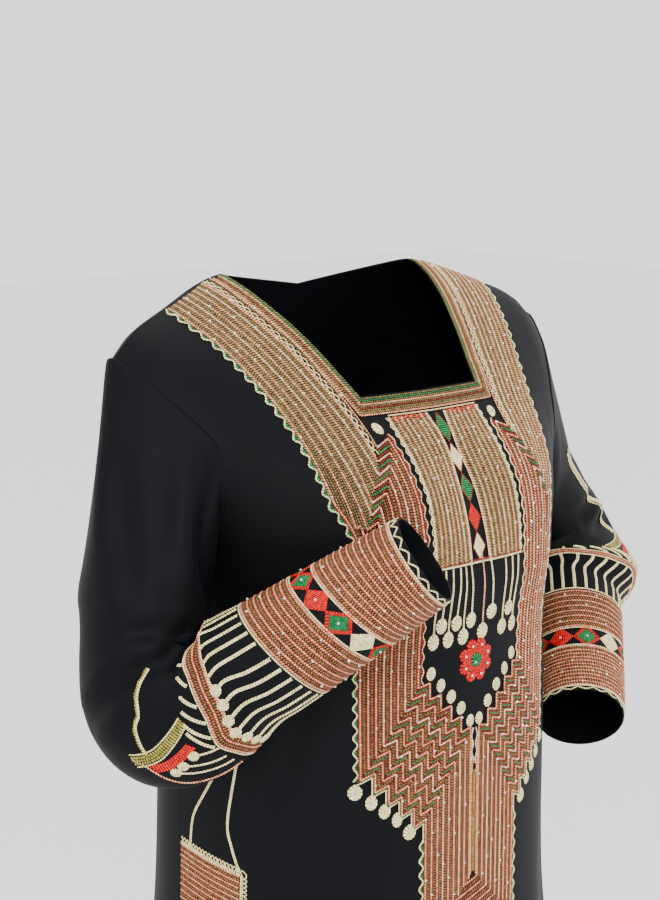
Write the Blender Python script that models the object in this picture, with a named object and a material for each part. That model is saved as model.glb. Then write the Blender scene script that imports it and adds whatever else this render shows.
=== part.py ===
"""Jalabiya: a long black dress with raised embroidered bands, in its worn, hollow form.

The origin is midway between the two points where the shoulder seams meet the neck edge.
The front faces -Y, the wearer's left is +X and +Z is up. Tables are in millimetres.
"""
from collections import namedtuple

import bpy
import bmesh
import numpy as np
from mathutils.bvhtree import BVHTree

MM = 0.001
CLOTH = 1.6            # wall of the crepe panels and sleeves
SEAM = 0.3             # distance between neighbouring pieces
BRAID = 1.2            # height of the raised embroidery
TRIM = 0.22            # how far its edges are drawn in, so that neighbours stay apart
LENGTH = 1420.0        # from the neck down to the hem
UNDERARM_Z = -222.0
FULL_Z = -240.0        # below this the shoulders no longer shape the front's middle
SQUARE = 2.2           # section exponent, 2 being an ellipse
FRONT_ROUND = 1.45     # how the chest leaves the shoulder ridge
BACK_ROUND = 1.8

# Horizontal sections of the dress: half its width, and its reach in front and behind.
Section = namedtuple("Section", "z half front back")
SECTIONS = [
    Section(-63, 235, 160, 96),
    Section(-128, 214, 160, 98),
    Section(-185, 186, 159, 103),
    Section(UNDERARM_Z, 171, 158, 104),
    Section(-300, 165, 153, 103),
    Section(-390, 168, 153, 106),
    Section(-500, 171, 153, 110),
    Section(-700, 196, 166, 136),
    Section(-1000, 240, 196, 178),
    Section(-LENGTH, 290, 232, 224),
]

# The cut's fullness over the chest: how much further forward the front stands at its
# middle and at FLANK_X either side of it.
Fullness = namedtuple("Fullness", "z middle flank")
FULLNESS = [
    Fullness(-80, 0, 0), Fullness(-96, 2, 2), Fullness(-112, 4, 4), Fullness(-130, 6, 9),
    Fullness(-145, 6, 13), Fullness(-165, 6, 15), Fullness(-187, 5, 12),
    Fullness(-225, 2, 4), Fullness(-262, 0, 0),
]
FLANK_X = 55.0
CHEST_EDGE_X = 150.0

# The shoulder seam, from the neck out to the sleeve head.
Ridge = namedtuple("Ridge", "x y z")
RIDGE = [
    Ridge(0, 31, -2), Ridge(100, 31, -10), Ridge(165, 16, -31), Ridge(197, 9, -44),
    Ridge(219, 6.5, -63),
]

# Rows across a panel. Each gives its height at the middle, then x and z where it crosses
# the inner and the outer edge of the side band and the armhole or side seam. Below the
# underarm the side seam keeps to the section's own half width. The last column is the
# number of cells down to the next row.
Row = namedtuple("Row", "name mid_z inner_x inner_z outer_x outer_z side_x side_z cells")
FRONT_ROWS = [
    Row("shoulder", -10, 100, -10, 165, -34, 219, -63, 4),
    Row("neckline", -96, 61, -96, 124, -108, 178, -122, 1),
    Row("neck_band_foot", -112, 58, -112, 121, -124, 175.5, -135, 2),
    Row("chest", -176, 50, -174, 109, -180, 173.5, -177, 3),
    Row("underarm", -240, 48, -240, 101, -243, 171, UNDERARM_Z, 3),
    Row("inner_step", -345, 47, -300, 99, -315, 166, -322, 4),
    Row("outer_step", -432, 49, -418, 100, -380, 168, -392, 2),
    Row("patch_head", -470, 49, -518, 104, -476, 169.5, -446, 3),
    Row("patch_foot", -600, 55, -600, 108, -566, 174, -540, 4),
    Row("knee", -900, 64, -900, 132, -900, 225, -900, 5),
    Row("hem", -LENGTH, 84, -LENGTH, 176, -LENGTH, 290, -LENGTH, 0),
]
BACK_ROWS = [
    Row("shoulder", -26, 100, -10, 165, -34, 219, -63, 4),
    Row("neckline", -80, 92, -80, 150, -100, 188, -122, 1),
    Row("neck_band_foot", -100, 88, -100, 145, -117, 186, -135, 2),
    Row("chest", -165, 78, -165, 132, -170, 181, -177, 3),
    Row("underarm", -230, 68, -230, 120, -226, 171, UNDERARM_Z, 3),
    Row("inner_step", -310, 64, -312, 116, -317, 166, -322, 4),
    Row("outer_step", -392, 66, -392, 118, -392, 168, -392, 2),
    Row("patch_head", -446, 68, -446, 120, -446, 169.5, -446, 3),
    Row("patch_foot", -540, 72, -540, 126, -540, 174, -540, 4),
    Row("knee", -900, 90, -900, 162, -900, 225, -900, 5),
    Row("hem", -LENGTH, 110, -LENGTH, 200, -LENGTH, 290, -LENGTH, 0),
]
# Cells between the middle and each of those lines, by the embroidery's own edges.
CUTS = [0.0, 0.2, 0.5, 0.83, 1.0, 1.33, 1.67, 2.0, 2.15, 2.3, 2.45, 2.6, 2.8, 3.0]
COLUMN_INNER = 0.2
COLUMN_OUTER = 0.83
PATCH_INNER = 2.6

ROSETTE_Z = -298.0
ROSETTE_RADIUS = 16.5
ROSETTE_PETALS = 8
ROSETTE_LOBE = 0.13    # depth of the notches between its petals, as a share of the radius
DIAMOND_HALF_WIDTH = 6.0
DIAMOND_HALF_HEIGHT = 10.2
DIAMOND_TOP = -123.0
DIAMOND_STEP = 21.4
DIAMONDS = ["green", "cream", "green", "red", "cream"]
# An emblem's dome: the share of its outline where it levels off, and its rise there and at
# its middle.
DOME_SHARE = 0.55
DOME_RISE = 0.6
DOME_TOP = 0.8
EMBLEM_LIFT = 0.15     # more than a seam's distance, as its straight edges bridge a curve

# Soft flutes of the skirt: how many go round, their share and where they start.
Flute = namedtuple("Flute", "around share phase")
FLUTES = [Flute(9, 0.5, 0.6), Flute(13, 0.3, 2.1), Flute(5, 0.35, 4.0)]
FLUTE_TOP = -470.0
FLUTE_DEPTH = 17.0     # at the hem
FLUTE_GROWTH = 1.3

# A sleeve is a tube from the armhole: two points on the upper arm, two on the forearm.
Arm = namedtuple("Arm", "side upper_start upper_end fore_start cuff half deep bag side_bag "
                        "fore_half fore_deep cuff_half cuff_deep drag inner_drag")
ARMS = {
    "right": Arm(-1, (-221, -31, -228), (-224, -36, -258), (-197, -108, -282),
                 (-106, -206, -192), 48.5, 48, 16, 0, 44, 42, 34, 38, 20, 0),
    "left": Arm(1, (230, 19, -208), (260, 25, -242), (265, -15, -318),
                (182, -101, -397), 48.5, 48, 21, 17, 47, 42, 38, 37, 14, 26),
}
BAG_SKEW = 1.1         # above 1 the elbow's bag hangs nearer the forearm
SIDE_BAG_SKEW = 3.2
BAG_SHARPNESS = 1.5
HEAD_RINGS = 5
HEAD_LIFT = 3.5        # the sleeve head stands this far out before it turns down
UPPER_RINGS = 2
ELBOW_RINGS = 9
# Edges of the sleeve's bands, measured up from the cuff.
CUFF_EDGE = 8.0
WRIST_BAND = 70.0
DIAMOND_ROW = 90.0
FOREARM_BAND = 130.0
SLEEVE_STATIONS = [150.0, FOREARM_BAND, 110.0, DIAMOND_ROW, WRIST_BAND, 49.0, 29.0,
                   CUFF_EDGE, 0.0]
# The cloth is dragged towards the cuff, by an arm's drag on its outer side and its inner
# drag in the crook: the shares of it, ring by ring up from the cuff. The bands go with it.
DRAG_SHARES = [0, 0.15, 0.45, 0.75, 1, 1, 1, 1, 0.65, 0.45, 0.25, 0.1]


def along(keys, values, at):
    """Monotone cubic through (keys, values), read at one place or an array of places."""
    keys = np.asarray(keys, float)
    values = np.asarray(values, float)
    if keys[0] > keys[-1]:
        keys, values = keys[::-1], values[::-1]
    step = np.diff(keys)
    slope = np.diff(values) / step
    bend = np.zeros(len(keys))
    bend[0], bend[-1] = slope[0], slope[-1]
    for i in range(1, len(keys) - 1):
        if slope[i - 1] * slope[i] > 0:
            first = 2 * step[i] + step[i - 1]
            second = step[i] + 2 * step[i - 1]
            bend[i] = (first + second) / (first / slope[i - 1] + second / slope[i])
    at = np.clip(np.asarray(at, float), keys[0], keys[-1])
    i = np.clip(np.searchsorted(keys, at) - 1, 0, len(step) - 1)
    t = (at - keys[i]) / step[i]
    return ((2 * t**3 - 3 * t**2 + 1) * values[i] + (t**3 - 2 * t**2 + t) * step[i] * bend[i]
            + (3 * t**2 - 2 * t**3) * values[i + 1] + (t**3 - t**2) * step[i] * bend[i + 1])


def section(name, z):
    """One column of the section table at height z."""
    return along([row.z for row in SECTIONS], [getattr(row, name) for row in SECTIONS], z)


def cloth_y(x, z, side):
    """The cloth's outer face at x and z: side is -1 in front and +1 behind."""
    x = np.abs(x)
    reach = side * section("front" if side < 0 else "back", z)
    across = np.clip(x / section("half", z), 0, 1)
    full = reach * (1 - across**SQUARE) ** (1 / SQUARE)
    ridge_y = along([r.x for r in RIDGE], [r.y for r in RIDGE], x)
    ridge_z = along([r.x for r in RIDGE], [r.z for r in RIDGE], x)
    power = FRONT_ROUND if side < 0 else BACK_ROUND
    full_z = FULL_Z + (UNDERARM_Z - FULL_Z) * across**4
    drop = np.clip((ridge_z - z) / (ridge_z - full_z), 0, 1)
    share = (1 - (1 - drop) ** power) ** (1 / power)
    chest = 0.0
    if side < 0:
        middle, flank = (along([row.z for row in FULLNESS],
                               [getattr(row, name) for row in FULLNESS], z)
                         for name in ("middle", "flank"))
        chest = middle * along([0, FLANK_X, CHEST_EDGE_X], [1, 0, 0], x)
        chest = chest + flank * along([0, FLANK_X, CHEST_EDGE_X], [0, 1, 0], x)
    return ridge_y * (1 - share) + full * share - chest


def fluted(point):
    """Push a point of the skirt in or out by the soft folds that grow towards the hem."""
    x, y, z = point
    grown = np.clip((FLUTE_TOP - z) / (FLUTE_TOP + LENGTH), 0, 1) ** FLUTE_GROWTH
    if grown == 0:
        return point
    turn = np.arctan2(y / section("front", z), x / section("half", z))
    wave = sum(f.share * np.cos(f.around * turn + f.phase) for f in FLUTES)
    out = np.array([x, y, 0.0]) / np.hypot(x, y)
    return point + out * FLUTE_DEPTH * grown * wave


def row_places(rows):
    """Row number, with its fraction, of every line of cells down a panel."""
    places = []
    for i, row in enumerate(rows):
        places += [i + step / row.cells for step in range(row.cells)]
    return places + [len(rows) - 1]


def panel_point(rows, side, u, place):
    """A point of a panel: u is 0 at the middle, 1 and 2 on the band's edges, 3 at the side."""
    count = range(len(rows))
    heights, turns = [], []
    for x_name, z_name in ((None, "mid_z"), ("inner_x", "inner_z"), ("outer_x", "outer_z"),
                           ("side_x", "side_z")):
        z = along(count, [getattr(r, z_name) for r in rows], place)
        x = along(count, [getattr(r, x_name) for r in rows], place) if x_name else 0.0
        if x_name == "side_x" and z <= UNDERARM_Z:
            x = section("half", z)
        heights.append(float(z))
        turns.append(float(np.arcsin(np.clip(x / section("half", z), 0, 1))))
    z = np.interp(abs(u), range(4), heights)
    x = section("half", z) * np.sin(np.interp(abs(u), range(4), turns))
    if place == 0:
        x = along(range(4), [0, rows[0].inner_x, rows[0].outer_x, rows[0].side_x], abs(u))
        if abs(u) >= 1:
            z = along([r.x for r in RIDGE], [r.z for r in RIDGE], x)
    return fluted(np.array([np.sign(u) * x, cloth_y(x, z, side), z], float))


def columns():
    """The u of every column of cells across a panel, from the right side to the left."""
    return [-u for u in CUTS[:0:-1]] + CUTS


def unit(v):
    return v / np.linalg.norm(v)


def corner_normals(grids):
    """Outward normals of several grids, shared where their corners meet."""
    total = {}

    def key(p):
        return tuple(np.round(p, 2) + 0.0)

    for points, keep, flip in grids:
        for i in range(points.shape[0] - 1):
            for j in range(points.shape[1] - 1):
                if keep[i, j]:
                    a, b = points[i, j], points[i + 1, j + 1]
                    c, d = points[i + 1, j], points[i, j + 1]
                    n = np.cross(b - a, d - c) * flip
                    for p in (a, b, c, d):
                        total[key(p)] = total.get(key(p), 0) + n
    out = []
    for points, keep, flip in grids:
        normal = np.zeros_like(points)
        for i in range(points.shape[0]):
            for j in range(points.shape[1]):
                n = total.get(key(points[i, j]))
                if n is not None:
                    normal[i, j] = unit(n)
        out.append(normal)
    return out


def material(name, colour, roughness):
    made = bpy.data.materials.new(name)
    made.use_nodes = True
    shader = made.node_tree.nodes["Principled BSDF"]
    shader.inputs["Base Color"].default_value = (*colour, 1)
    shader.inputs["Roughness"].default_value = roughness
    return made


def new_object(name, verts, faces, finish, collection):
    """A closed solid from points in millimetres, with its faces turned outwards."""
    mesh = bpy.data.meshes.new(name)
    mesh.from_pydata([tuple(float(c) * MM for c in v) for v in verts], [], faces)
    work = bmesh.new()
    work.from_mesh(mesh)
    loose = [v for v in work.verts if not v.link_faces]
    bmesh.ops.delete(work, geom=loose, context="VERTS")
    bmesh.ops.recalc_face_normals(work, faces=work.faces)
    work.to_mesh(mesh)
    work.free()
    mesh.shade_smooth()
    mesh.materials.append(finish)
    piece = bpy.data.objects.new(name, mesh)
    collection.objects.link(piece)
    return piece


def wall(name, outer, inner, keep, finish, collection):
    """A wall between two grids of points over the cells that keep marks.

    Every cell is split along the same corner in every layer, so layers nest.
    """
    rows, cols = keep.shape
    around = outer.shape[1] == cols           # the last column of cells closes a ring
    width = outer.shape[1]
    count = outer.shape[0] * width
    verts = list(outer.reshape(-1, 3)) + list(inner.reshape(-1, 3))
    skin, edges = [], {}
    for i in range(rows):
        for j in range(cols):
            if keep[i, j]:
                k = (j + 1) % width if around else j + 1
                a, b = i * width + j, i * width + k
                c, d = (i + 1) * width + k, (i + 1) * width + j
                skin += [(a, b, c), (a, c, d)]
    for tri in skin:
        for start, end in zip(tri, tri[1:] + tri[:1]):
            edges[(start, end)] = edges.get((start, end), 0) + 1
    rim = [e for e in edges if (e[1], e[0]) not in edges]
    faces = skin + [tuple(v + count for v in reversed(tri)) for tri in skin]
    for start, end in rim:
        faces.append((end, start, start + count))
        faces.append((end, start + count, end + count))
    return new_object(name, verts, faces, finish, collection)


def panel_grid(rows, side):
    places, us = row_places(rows), columns()
    points = np.array([[panel_point(rows, side, u, place) for u in us] for place in places])
    keep = np.ones((len(places) - 1, len(us) - 1), bool)
    if side < 0:
        open_rows = rows[0].cells
        for j in range(len(us) - 1):
            if abs(us[j] + us[j + 1]) / 2 < 1:
                keep[:open_rows, j] = False
    return points, keep


def draw_back(points, keep):
    """Move the seam edges of a panel back by half the seam, along its own cells."""
    moved = points.copy()
    half = SEAM / 2
    for j in range(points.shape[1]):
        if keep[0, min(j, keep.shape[1] - 1)] or keep[0, max(j - 1, 0)]:
            moved[0, j] += unit(points[1, j] - points[0, j]) * half
    for i in range(points.shape[0]):
        moved[i, 0] += unit(points[i, 1] - points[i, 0]) * half
        moved[i, -1] += unit(points[i, -2] - points[i, -1]) * half
    return moved


def row_index(rows, name):
    total = 0
    for row in rows:
        if row.name == name:
            return total
        total += row.cells
    raise ValueError(name)


def shrunk(points, keep, by):
    """Move the edge points of the kept cells a little way in, over their own cells."""
    moved = points.copy()
    rows, cols = keep.shape
    width = points.shape[1]
    around = width == cols
    for i in range(points.shape[0]):
        for j in range(width):
            inside = []
            for di in (-1, 0):
                for dj in (-1, 0):
                    a, b = i + di, (j + dj) % width if around else j + dj
                    if 0 <= a < rows and 0 <= b < cols and keep[a, b]:
                        c = (b + 1) % width if around else b + 1
                        inside.append((points[a, b] + points[a + 1, b] + points[a, c]
                                       + points[a + 1, c]) / 4)
            if inside and len(inside) < 4:
                moved[i, j] += unit(sum(inside) / len(inside) - points[i, j]) * by
    return moved


def applied(name, points, normal, keep, finish, collection):
    """Raised embroidery: a panel's own points moved out."""
    edged = shrunk(points, keep, TRIM)
    return wall(name, edged + normal * (SEAM + BRAID), edged + normal * SEAM, keep, finish,
                collection)


def cells_between(keep, us, rows, top, foot, low, high, more=0):
    """The cells between two named rows, plus some more rows, and between two u values."""
    marked = np.zeros_like(keep)
    first, last = row_index(rows, top), row_index(rows, foot) + more
    for j in range(keep.shape[1]):
        marked[first:last, j] = low < (us[j] + us[j + 1]) / 2 < high
    return marked & keep


def emblem(name, panel, middle, outline, finish, collection):
    """A small raised motif on the front: a low dome over an outline about its middle."""
    tree = BVHTree.FromPolygons([v.co for v in panel.data.vertices],
                                [p.vertices for p in panel.data.polygons])

    def place(share, out):
        spots = []
        for dx, dz in outline:
            x, z = middle[0] + share * dx, middle[1] + share * dz
            spot, normal, _, _ = tree.ray_cast((x * MM, -1, z * MM), (0, 1, 0))
            spots.append(np.array(spot) / MM + np.array(normal) * out)
        return spots

    base, top = SEAM + EMBLEM_LIFT, SEAM + BRAID
    count = len(outline)
    verts = place(1, base) + place(DOME_SHARE, base)
    verts += place(1, top) + place(DOME_SHARE, top + DOME_RISE)
    verts += [place(0, base)[0], place(0, top + DOME_TOP)[0]]
    faces = []
    for i in range(count):
        k = (i + 1) % count
        faces += [(i, k, k + count), (i, k + count, i + count), (i + count, k + count, 4 * count)]
        i, k = i + 2 * count, k + 2 * count
        faces += [(i, k + count, k), (i, i + count, k + count),
                  (i + count, 4 * count + 1, k + count)]
        faces += [(i, k, k - 2 * count), (i, k - 2 * count, i - 2 * count)]
    return new_object(name, verts, faces, finish, collection)


def armhole(front, back, foot):
    """Seam points and normals round an armhole, and the way the sleeve leaves each one."""
    points = np.array(list(front[0][:foot + 1]) + list(back[0][foot - 1:0:-1]))
    normal = np.array(list(front[1][:foot + 1]) + list(back[1][foot - 1:0:-1]))
    along_edge = np.roll(points, -1, axis=0) - np.roll(points, 1, axis=0)
    away = np.cross(along_edge, normal)
    if np.dot(away[0], [points[0][0], 0, 0]) < 0:
        away = -away
    return points, normal, away / np.linalg.norm(away, axis=1, keepdims=True)


def turned(start, end, share):
    """Unit vector part of the way from one direction to another."""
    angle = np.arccos(np.clip(np.dot(start, end), -1, 1))
    if angle < 1e-6:
        return start
    return (np.sin((1 - share) * angle) * start + np.sin(share * angle) * end) / np.sin(angle)


def sleeve_frames(arm):
    """Centre, axis, outward direction and half sizes of each ring below the sleeve head."""
    a, b = np.array(arm.upper_start, float), np.array(arm.upper_end, float)
    c, d = np.array(arm.fore_start, float), np.array(arm.cuff, float)
    upper, fore = unit(b - a), unit(d - c)
    upper_out = unit(-(fore - upper * np.dot(fore, upper)))
    fore_out = unit(upper - fore * np.dot(upper, fore))
    rings = []
    for i in range(UPPER_RINGS + 1):
        share = i / UPPER_RINGS
        rings.append((a + (b - a) * share, upper, upper_out, arm.half, arm.deep))
    inner_start = b - upper_out * arm.half
    inner_end = c - fore_out * arm.fore_half
    for i in range(1, ELBOW_RINGS + 1):
        share = i / ELBOW_RINGS
        bag = arm.bag * np.sin(np.pi * share**BAG_SKEW) ** BAG_SHARPNESS
        half = arm.half + (arm.fore_half - arm.half) * share + bag
        out = turned(upper_out, fore_out, share)
        axis = turned(upper, fore, share)
        axis = unit(axis - out * np.dot(axis, out))
        centre = inner_start + (inner_end - inner_start) * share + out * half
        side_bag = arm.side_bag * np.sin(np.pi * share**SIDE_BAG_SKEW) ** BAG_SHARPNESS
        deep = arm.deep + (arm.fore_deep - arm.deep) * share + side_bag
        rings.append((centre, axis, out, half, deep))
    length = np.linalg.norm(d - c)
    for station in SLEEVE_STATIONS:
        share = 1 - min(station, (length + FOREARM_BAND) / 2) / length
        half = arm.fore_half + (arm.cuff_half - arm.fore_half) * share
        deep = arm.fore_deep + (arm.cuff_deep - arm.fore_deep) * share
        rings.append((c + (d - c) * share, fore, fore_out, half, deep))
    return rings


def sleeve_grid(arm, seam_outer, seam_away):
    """Outer points of a sleeve, ring by ring, from the armhole to the cuff."""
    count = len(seam_outer)
    frames = sleeve_frames(arm)
    lateral = np.array([arm.side, 0.0, 0.0])
    forward = np.array([0.0, -1.0, 0.0])
    centre, axis, out, half, deep = frames[0]
    beside = np.cross(axis, out)
    if np.dot(np.cross(axis, lateral), forward) < 0:
        beside = -beside
    flip = np.dot(beside, np.cross(axis, out))
    start = np.arctan2(np.dot(lateral, beside), np.dot(lateral, out))
    angles = start + np.arange(count) * 2 * np.pi / count
    tube = []
    shares = ([0] * len(frames) + DRAG_SHARES[::-1])[-len(frames):]
    for (centre, axis, out, half, deep), share in zip(frames, shares):
        beside = np.cross(axis, out) * flip
        middle = (arm.drag + arm.inner_drag) / 2
        swing = (arm.drag - arm.inner_drag) / 2
        tube.append([centre + out * half * np.cos(t) + beside * deep * np.sin(t)
                     + axis * share * (middle + swing * np.cos(t)) for t in angles])
    tube = np.array(tube)
    first = seam_outer + seam_away * SEAM
    lift = seam_away + lateral
    lifted = seam_outer + HEAD_LIFT * lift / np.linalg.norm(lift, axis=1, keepdims=True)
    head = [first]
    for i in range(HEAD_RINGS):
        share = i / HEAD_RINGS
        head.append(lifted * (1 - share) + tube[0] * share)
    return np.concatenate([np.array(head), tube])


def ring_normals(points):
    """Outward normals of a grid that closes on itself across its columns."""
    before = np.roll(points, 1, axis=1)
    after = np.roll(points, -1, axis=1)
    down = np.gradient(points, axis=0)
    normal = np.cross(after - before, down)
    middle = points.mean(axis=1, keepdims=True)
    if np.sum(normal * (points - middle)) < 0:
        normal = -normal
    return normal / np.linalg.norm(normal, axis=2, keepdims=True)


def clear_scene():
    for thing in list(bpy.data.objects):
        bpy.data.objects.remove(thing, do_unlink=True)


def build():
    clear_scene()
    dress = bpy.data.collections.new("jalabiya")
    bpy.context.scene.collection.children.link(dress)
    crepe = material("black_crepe", (0.008, 0.009, 0.012), 0.62)
    braid = material("striped_braid", (0.22, 0.09, 0.055), 0.55)
    threads = {
        "red": material("red_thread", (0.6, 0.03, 0.02), 0.5),
        "green": material("green_thread", (0.01, 0.2, 0.08), 0.5),
        "cream": material("cream_thread", (0.78, 0.72, 0.5), 0.5),
    }
    us = columns()
    front, front_keep = panel_grid(FRONT_ROWS, -1)
    back, back_keep = panel_grid(BACK_ROWS, 1)
    front_n, back_n = corner_normals([(front, front_keep, 1), (back, back_keep, -1)])
    if front_n[-1, len(us) // 2][1] > 0:
        front_n, back_n = -front_n, -back_n
    seamed_front = draw_back(front, front_keep)
    seamed_back = draw_back(back, back_keep)
    front_in = seamed_front - front_n * CLOTH
    back_in = seamed_back - back_n * CLOTH
    front_piece = wall("front_panel", seamed_front, front_in, front_keep, crepe, dress)
    wall("back_panel", seamed_back, back_in, back_keep, crepe, dress)
    for name, low, high in (("right", -1, 0), ("left", 0, 1)):
        sign = -1 if name == "right" else 1
        side = cells_between(front_keep, us, FRONT_ROWS, "shoulder", "outer_step",
                             *sorted((sign, 2 * sign)))
        middle = cells_between(front_keep, us, FRONT_ROWS, "inner_step", "patch_head", low, high)
        applied("side_band_" + name, front, front_n, side | middle, braid, dress)
        column = cells_between(front_keep, us, FRONT_ROWS, "neck_band_foot", "underarm",
                               *sorted((sign * COLUMN_INNER, sign * COLUMN_OUTER)), more=-1)
        applied("chest_column_" + name, front, front_n, column, braid, dress)
        patch = cells_between(front_keep, us, FRONT_ROWS, "patch_head", "patch_foot",
                              *sorted((sign * PATCH_INNER, sign * 3)))
        applied("hip_patch_" + name, front, front_n, patch, braid, dress)
    neck = cells_between(front_keep, us, FRONT_ROWS, "neckline", "neck_band_foot", -1, 1)
    applied("neck_band", front, front_n, neck, braid, dress)
    turns = np.arange(ROSETTE_PETALS * 4) * 2 * np.pi / (ROSETTE_PETALS * 4)
    reach = ROSETTE_RADIUS * (1 - ROSETTE_LOBE * (1 - np.cos(ROSETTE_PETALS * turns)))
    rose = list(zip(reach * np.cos(turns), reach * np.sin(turns)))
    emblem("rosette", front_piece, (0, ROSETTE_Z), rose, threads["red"], dress)
    quarter = [(1, 0), (0.5, 0.5), (0, 1), (-0.5, 0.5), (-1, 0), (-0.5, -0.5), (0, -1), (0.5, -0.5)]
    lozenge = [(x * DIAMOND_HALF_WIDTH, z * DIAMOND_HALF_HEIGHT) for x, z in quarter]
    for i, colour in enumerate(DIAMONDS):
        emblem(f"diamond_{i + 1}", front_piece, (0, DIAMOND_TOP - i * DIAMOND_STEP), lozenge,
               threads[colour], dress)

    foot = row_index(FRONT_ROWS, "underarm")
    for name, arm in ARMS.items():
        edge = 0 if arm.side < 0 else -1
        seam, seam_n, away = armhole((front[:, edge], front_n[:, edge]),
                                     (back[:, edge], back_n[:, edge]), foot)
        points = sleeve_grid(arm, seam, away)
        normal = ring_normals(points)
        inside = points - normal * CLOTH
        inside[0] = points[0] - seam_n * CLOTH
        keep = np.ones((points.shape[0] - 1, points.shape[1]), bool)
        wall("sleeve_" + name, points, inside, keep, crepe, dress)
        last = points.shape[0] - 1
        for band, low, high in (("wrist_band_", CUFF_EDGE, WRIST_BAND),
                                ("forearm_band_", DIAMOND_ROW, FOREARM_BAND)):
            cells = np.zeros_like(keep)
            top = last - (len(SLEEVE_STATIONS) - 1) + SLEEVE_STATIONS.index(high)
            end = last - (len(SLEEVE_STATIONS) - 1) + SLEEVE_STATIONS.index(low)
            cells[top:end] = True
            applied(band + name, points, normal, cells, braid, dress)


build()
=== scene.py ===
"""Looks of the jalabiya: thin cloth shells with soft folds, and the stitching laid on them.

The shapes are worked out in millimetres from the same tables as the solids, and made
metres when a mesh is written.
"""
from collections import namedtuple

import bpy
import numpy as np
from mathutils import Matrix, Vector


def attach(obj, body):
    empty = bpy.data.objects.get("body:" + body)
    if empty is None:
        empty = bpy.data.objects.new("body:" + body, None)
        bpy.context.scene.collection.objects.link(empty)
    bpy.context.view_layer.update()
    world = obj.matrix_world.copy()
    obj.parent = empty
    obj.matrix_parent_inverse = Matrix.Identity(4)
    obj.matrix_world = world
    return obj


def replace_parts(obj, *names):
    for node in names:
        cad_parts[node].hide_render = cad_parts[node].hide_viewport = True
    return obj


MM = 0.001
GOLDEN = 0.618         # steps of this share of a turn never fall into a pattern

# Sizes and tables shared with the solids, in millimetres.
CLOTH = 1.2            # wall of the shells
SEAM = 0.3
LENGTH = 1420.0
UNDERARM_Z = -222.0
FULL_Z = -240.0
SQUARE = 2.2
FRONT_ROUND = 1.45
BACK_ROUND = 1.8

Section = namedtuple("Section", "z half front back")
SECTIONS = [
    Section(-63, 235, 160, 96),
    Section(-128, 214, 160, 98),
    Section(-185, 186, 159, 103),
    Section(UNDERARM_Z, 171, 158, 104),
    Section(-300, 165, 153, 103),
    Section(-390, 168, 153, 106),
    Section(-500, 171, 153, 110),
    Section(-700, 196, 166, 136),
    Section(-1000, 240, 196, 178),
    Section(-LENGTH, 290, 232, 224),
]
Fullness = namedtuple("Fullness", "z middle flank")
FULLNESS = [
    Fullness(-80, 0, 0), Fullness(-96, 2, 2), Fullness(-112, 4, 4), Fullness(-130, 6, 9),
    Fullness(-145, 6, 13), Fullness(-165, 6, 15), Fullness(-187, 5, 12),
    Fullness(-225, 2, 4), Fullness(-262, 0, 0),
]
FLANK_X = 55.0
CHEST_EDGE_X = 150.0
Ridge = namedtuple("Ridge", "x y z")
RIDGE = [
    Ridge(0, 31, -2), Ridge(100, 31, -10), Ridge(165, 16, -31), Ridge(197, 9, -44),
    Ridge(219, 6.5, -63),
]
Row = namedtuple("Row", "name mid_z inner_x inner_z outer_x outer_z side_x side_z cells")
FRONT_ROWS = [
    Row("shoulder", -10, 100, -10, 165, -34, 219, -63, 4),
    Row("neckline", -96, 61, -96, 124, -108, 178, -122, 1),
    Row("neck_band_foot", -112, 58, -112, 121, -124, 175.5, -135, 2),
    Row("chest", -176, 50, -174, 109, -180, 173.5, -177, 3),
    Row("underarm", -240, 48, -240, 101, -243, 171, UNDERARM_Z, 3),
    Row("inner_step", -345, 47, -300, 99, -315, 166, -322, 4),
    Row("outer_step", -432, 49, -418, 100, -380, 168, -392, 2),
    Row("patch_head", -470, 49, -518, 104, -476, 169.5, -446, 3),
    Row("patch_foot", -600, 55, -600, 108, -566, 174, -540, 4),
    Row("knee", -900, 64, -900, 132, -900, 225, -900, 5),
    Row("hem", -LENGTH, 84, -LENGTH, 176, -LENGTH, 290, -LENGTH, 0),
]
BACK_ROWS = [
    Row("shoulder", -26, 100, -10, 165, -34, 219, -63, 4),
    Row("neckline", -80, 92, -80, 150, -100, 188, -122, 1),
    Row("neck_band_foot", -100, 88, -100, 145, -117, 186, -135, 2),
    Row("chest", -165, 78, -165, 132, -170, 181, -177, 3),
    Row("underarm", -230, 68, -230, 120, -226, 171, UNDERARM_Z, 3),
    Row("inner_step", -310, 64, -312, 116, -317, 166, -322, 4),
    Row("outer_step", -392, 66, -392, 118, -392, 168, -392, 2),
    Row("patch_head", -446, 68, -446, 120, -446, 169.5, -446, 3),
    Row("patch_foot", -540, 72, -540, 126, -540, 174, -540, 4),
    Row("knee", -900, 90, -900, 162, -900, 225, -900, 5),
    Row("hem", -LENGTH, 110, -LENGTH, 200, -LENGTH, 290, -LENGTH, 0),
]
RIDGE_BLEND = 0.25     # the share of the first row over which the shoulder seam's line fades
Flute = namedtuple("Flute", "around share phase")
FLUTES = [Flute(9, 0.5, 0.6), Flute(13, 0.3, 2.1), Flute(5, 0.35, 4.0)]
FLUTE_TOP = -470.0
FLUTE_DEPTH = 17.0
FLUTE_GROWTH = 1.3

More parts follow.
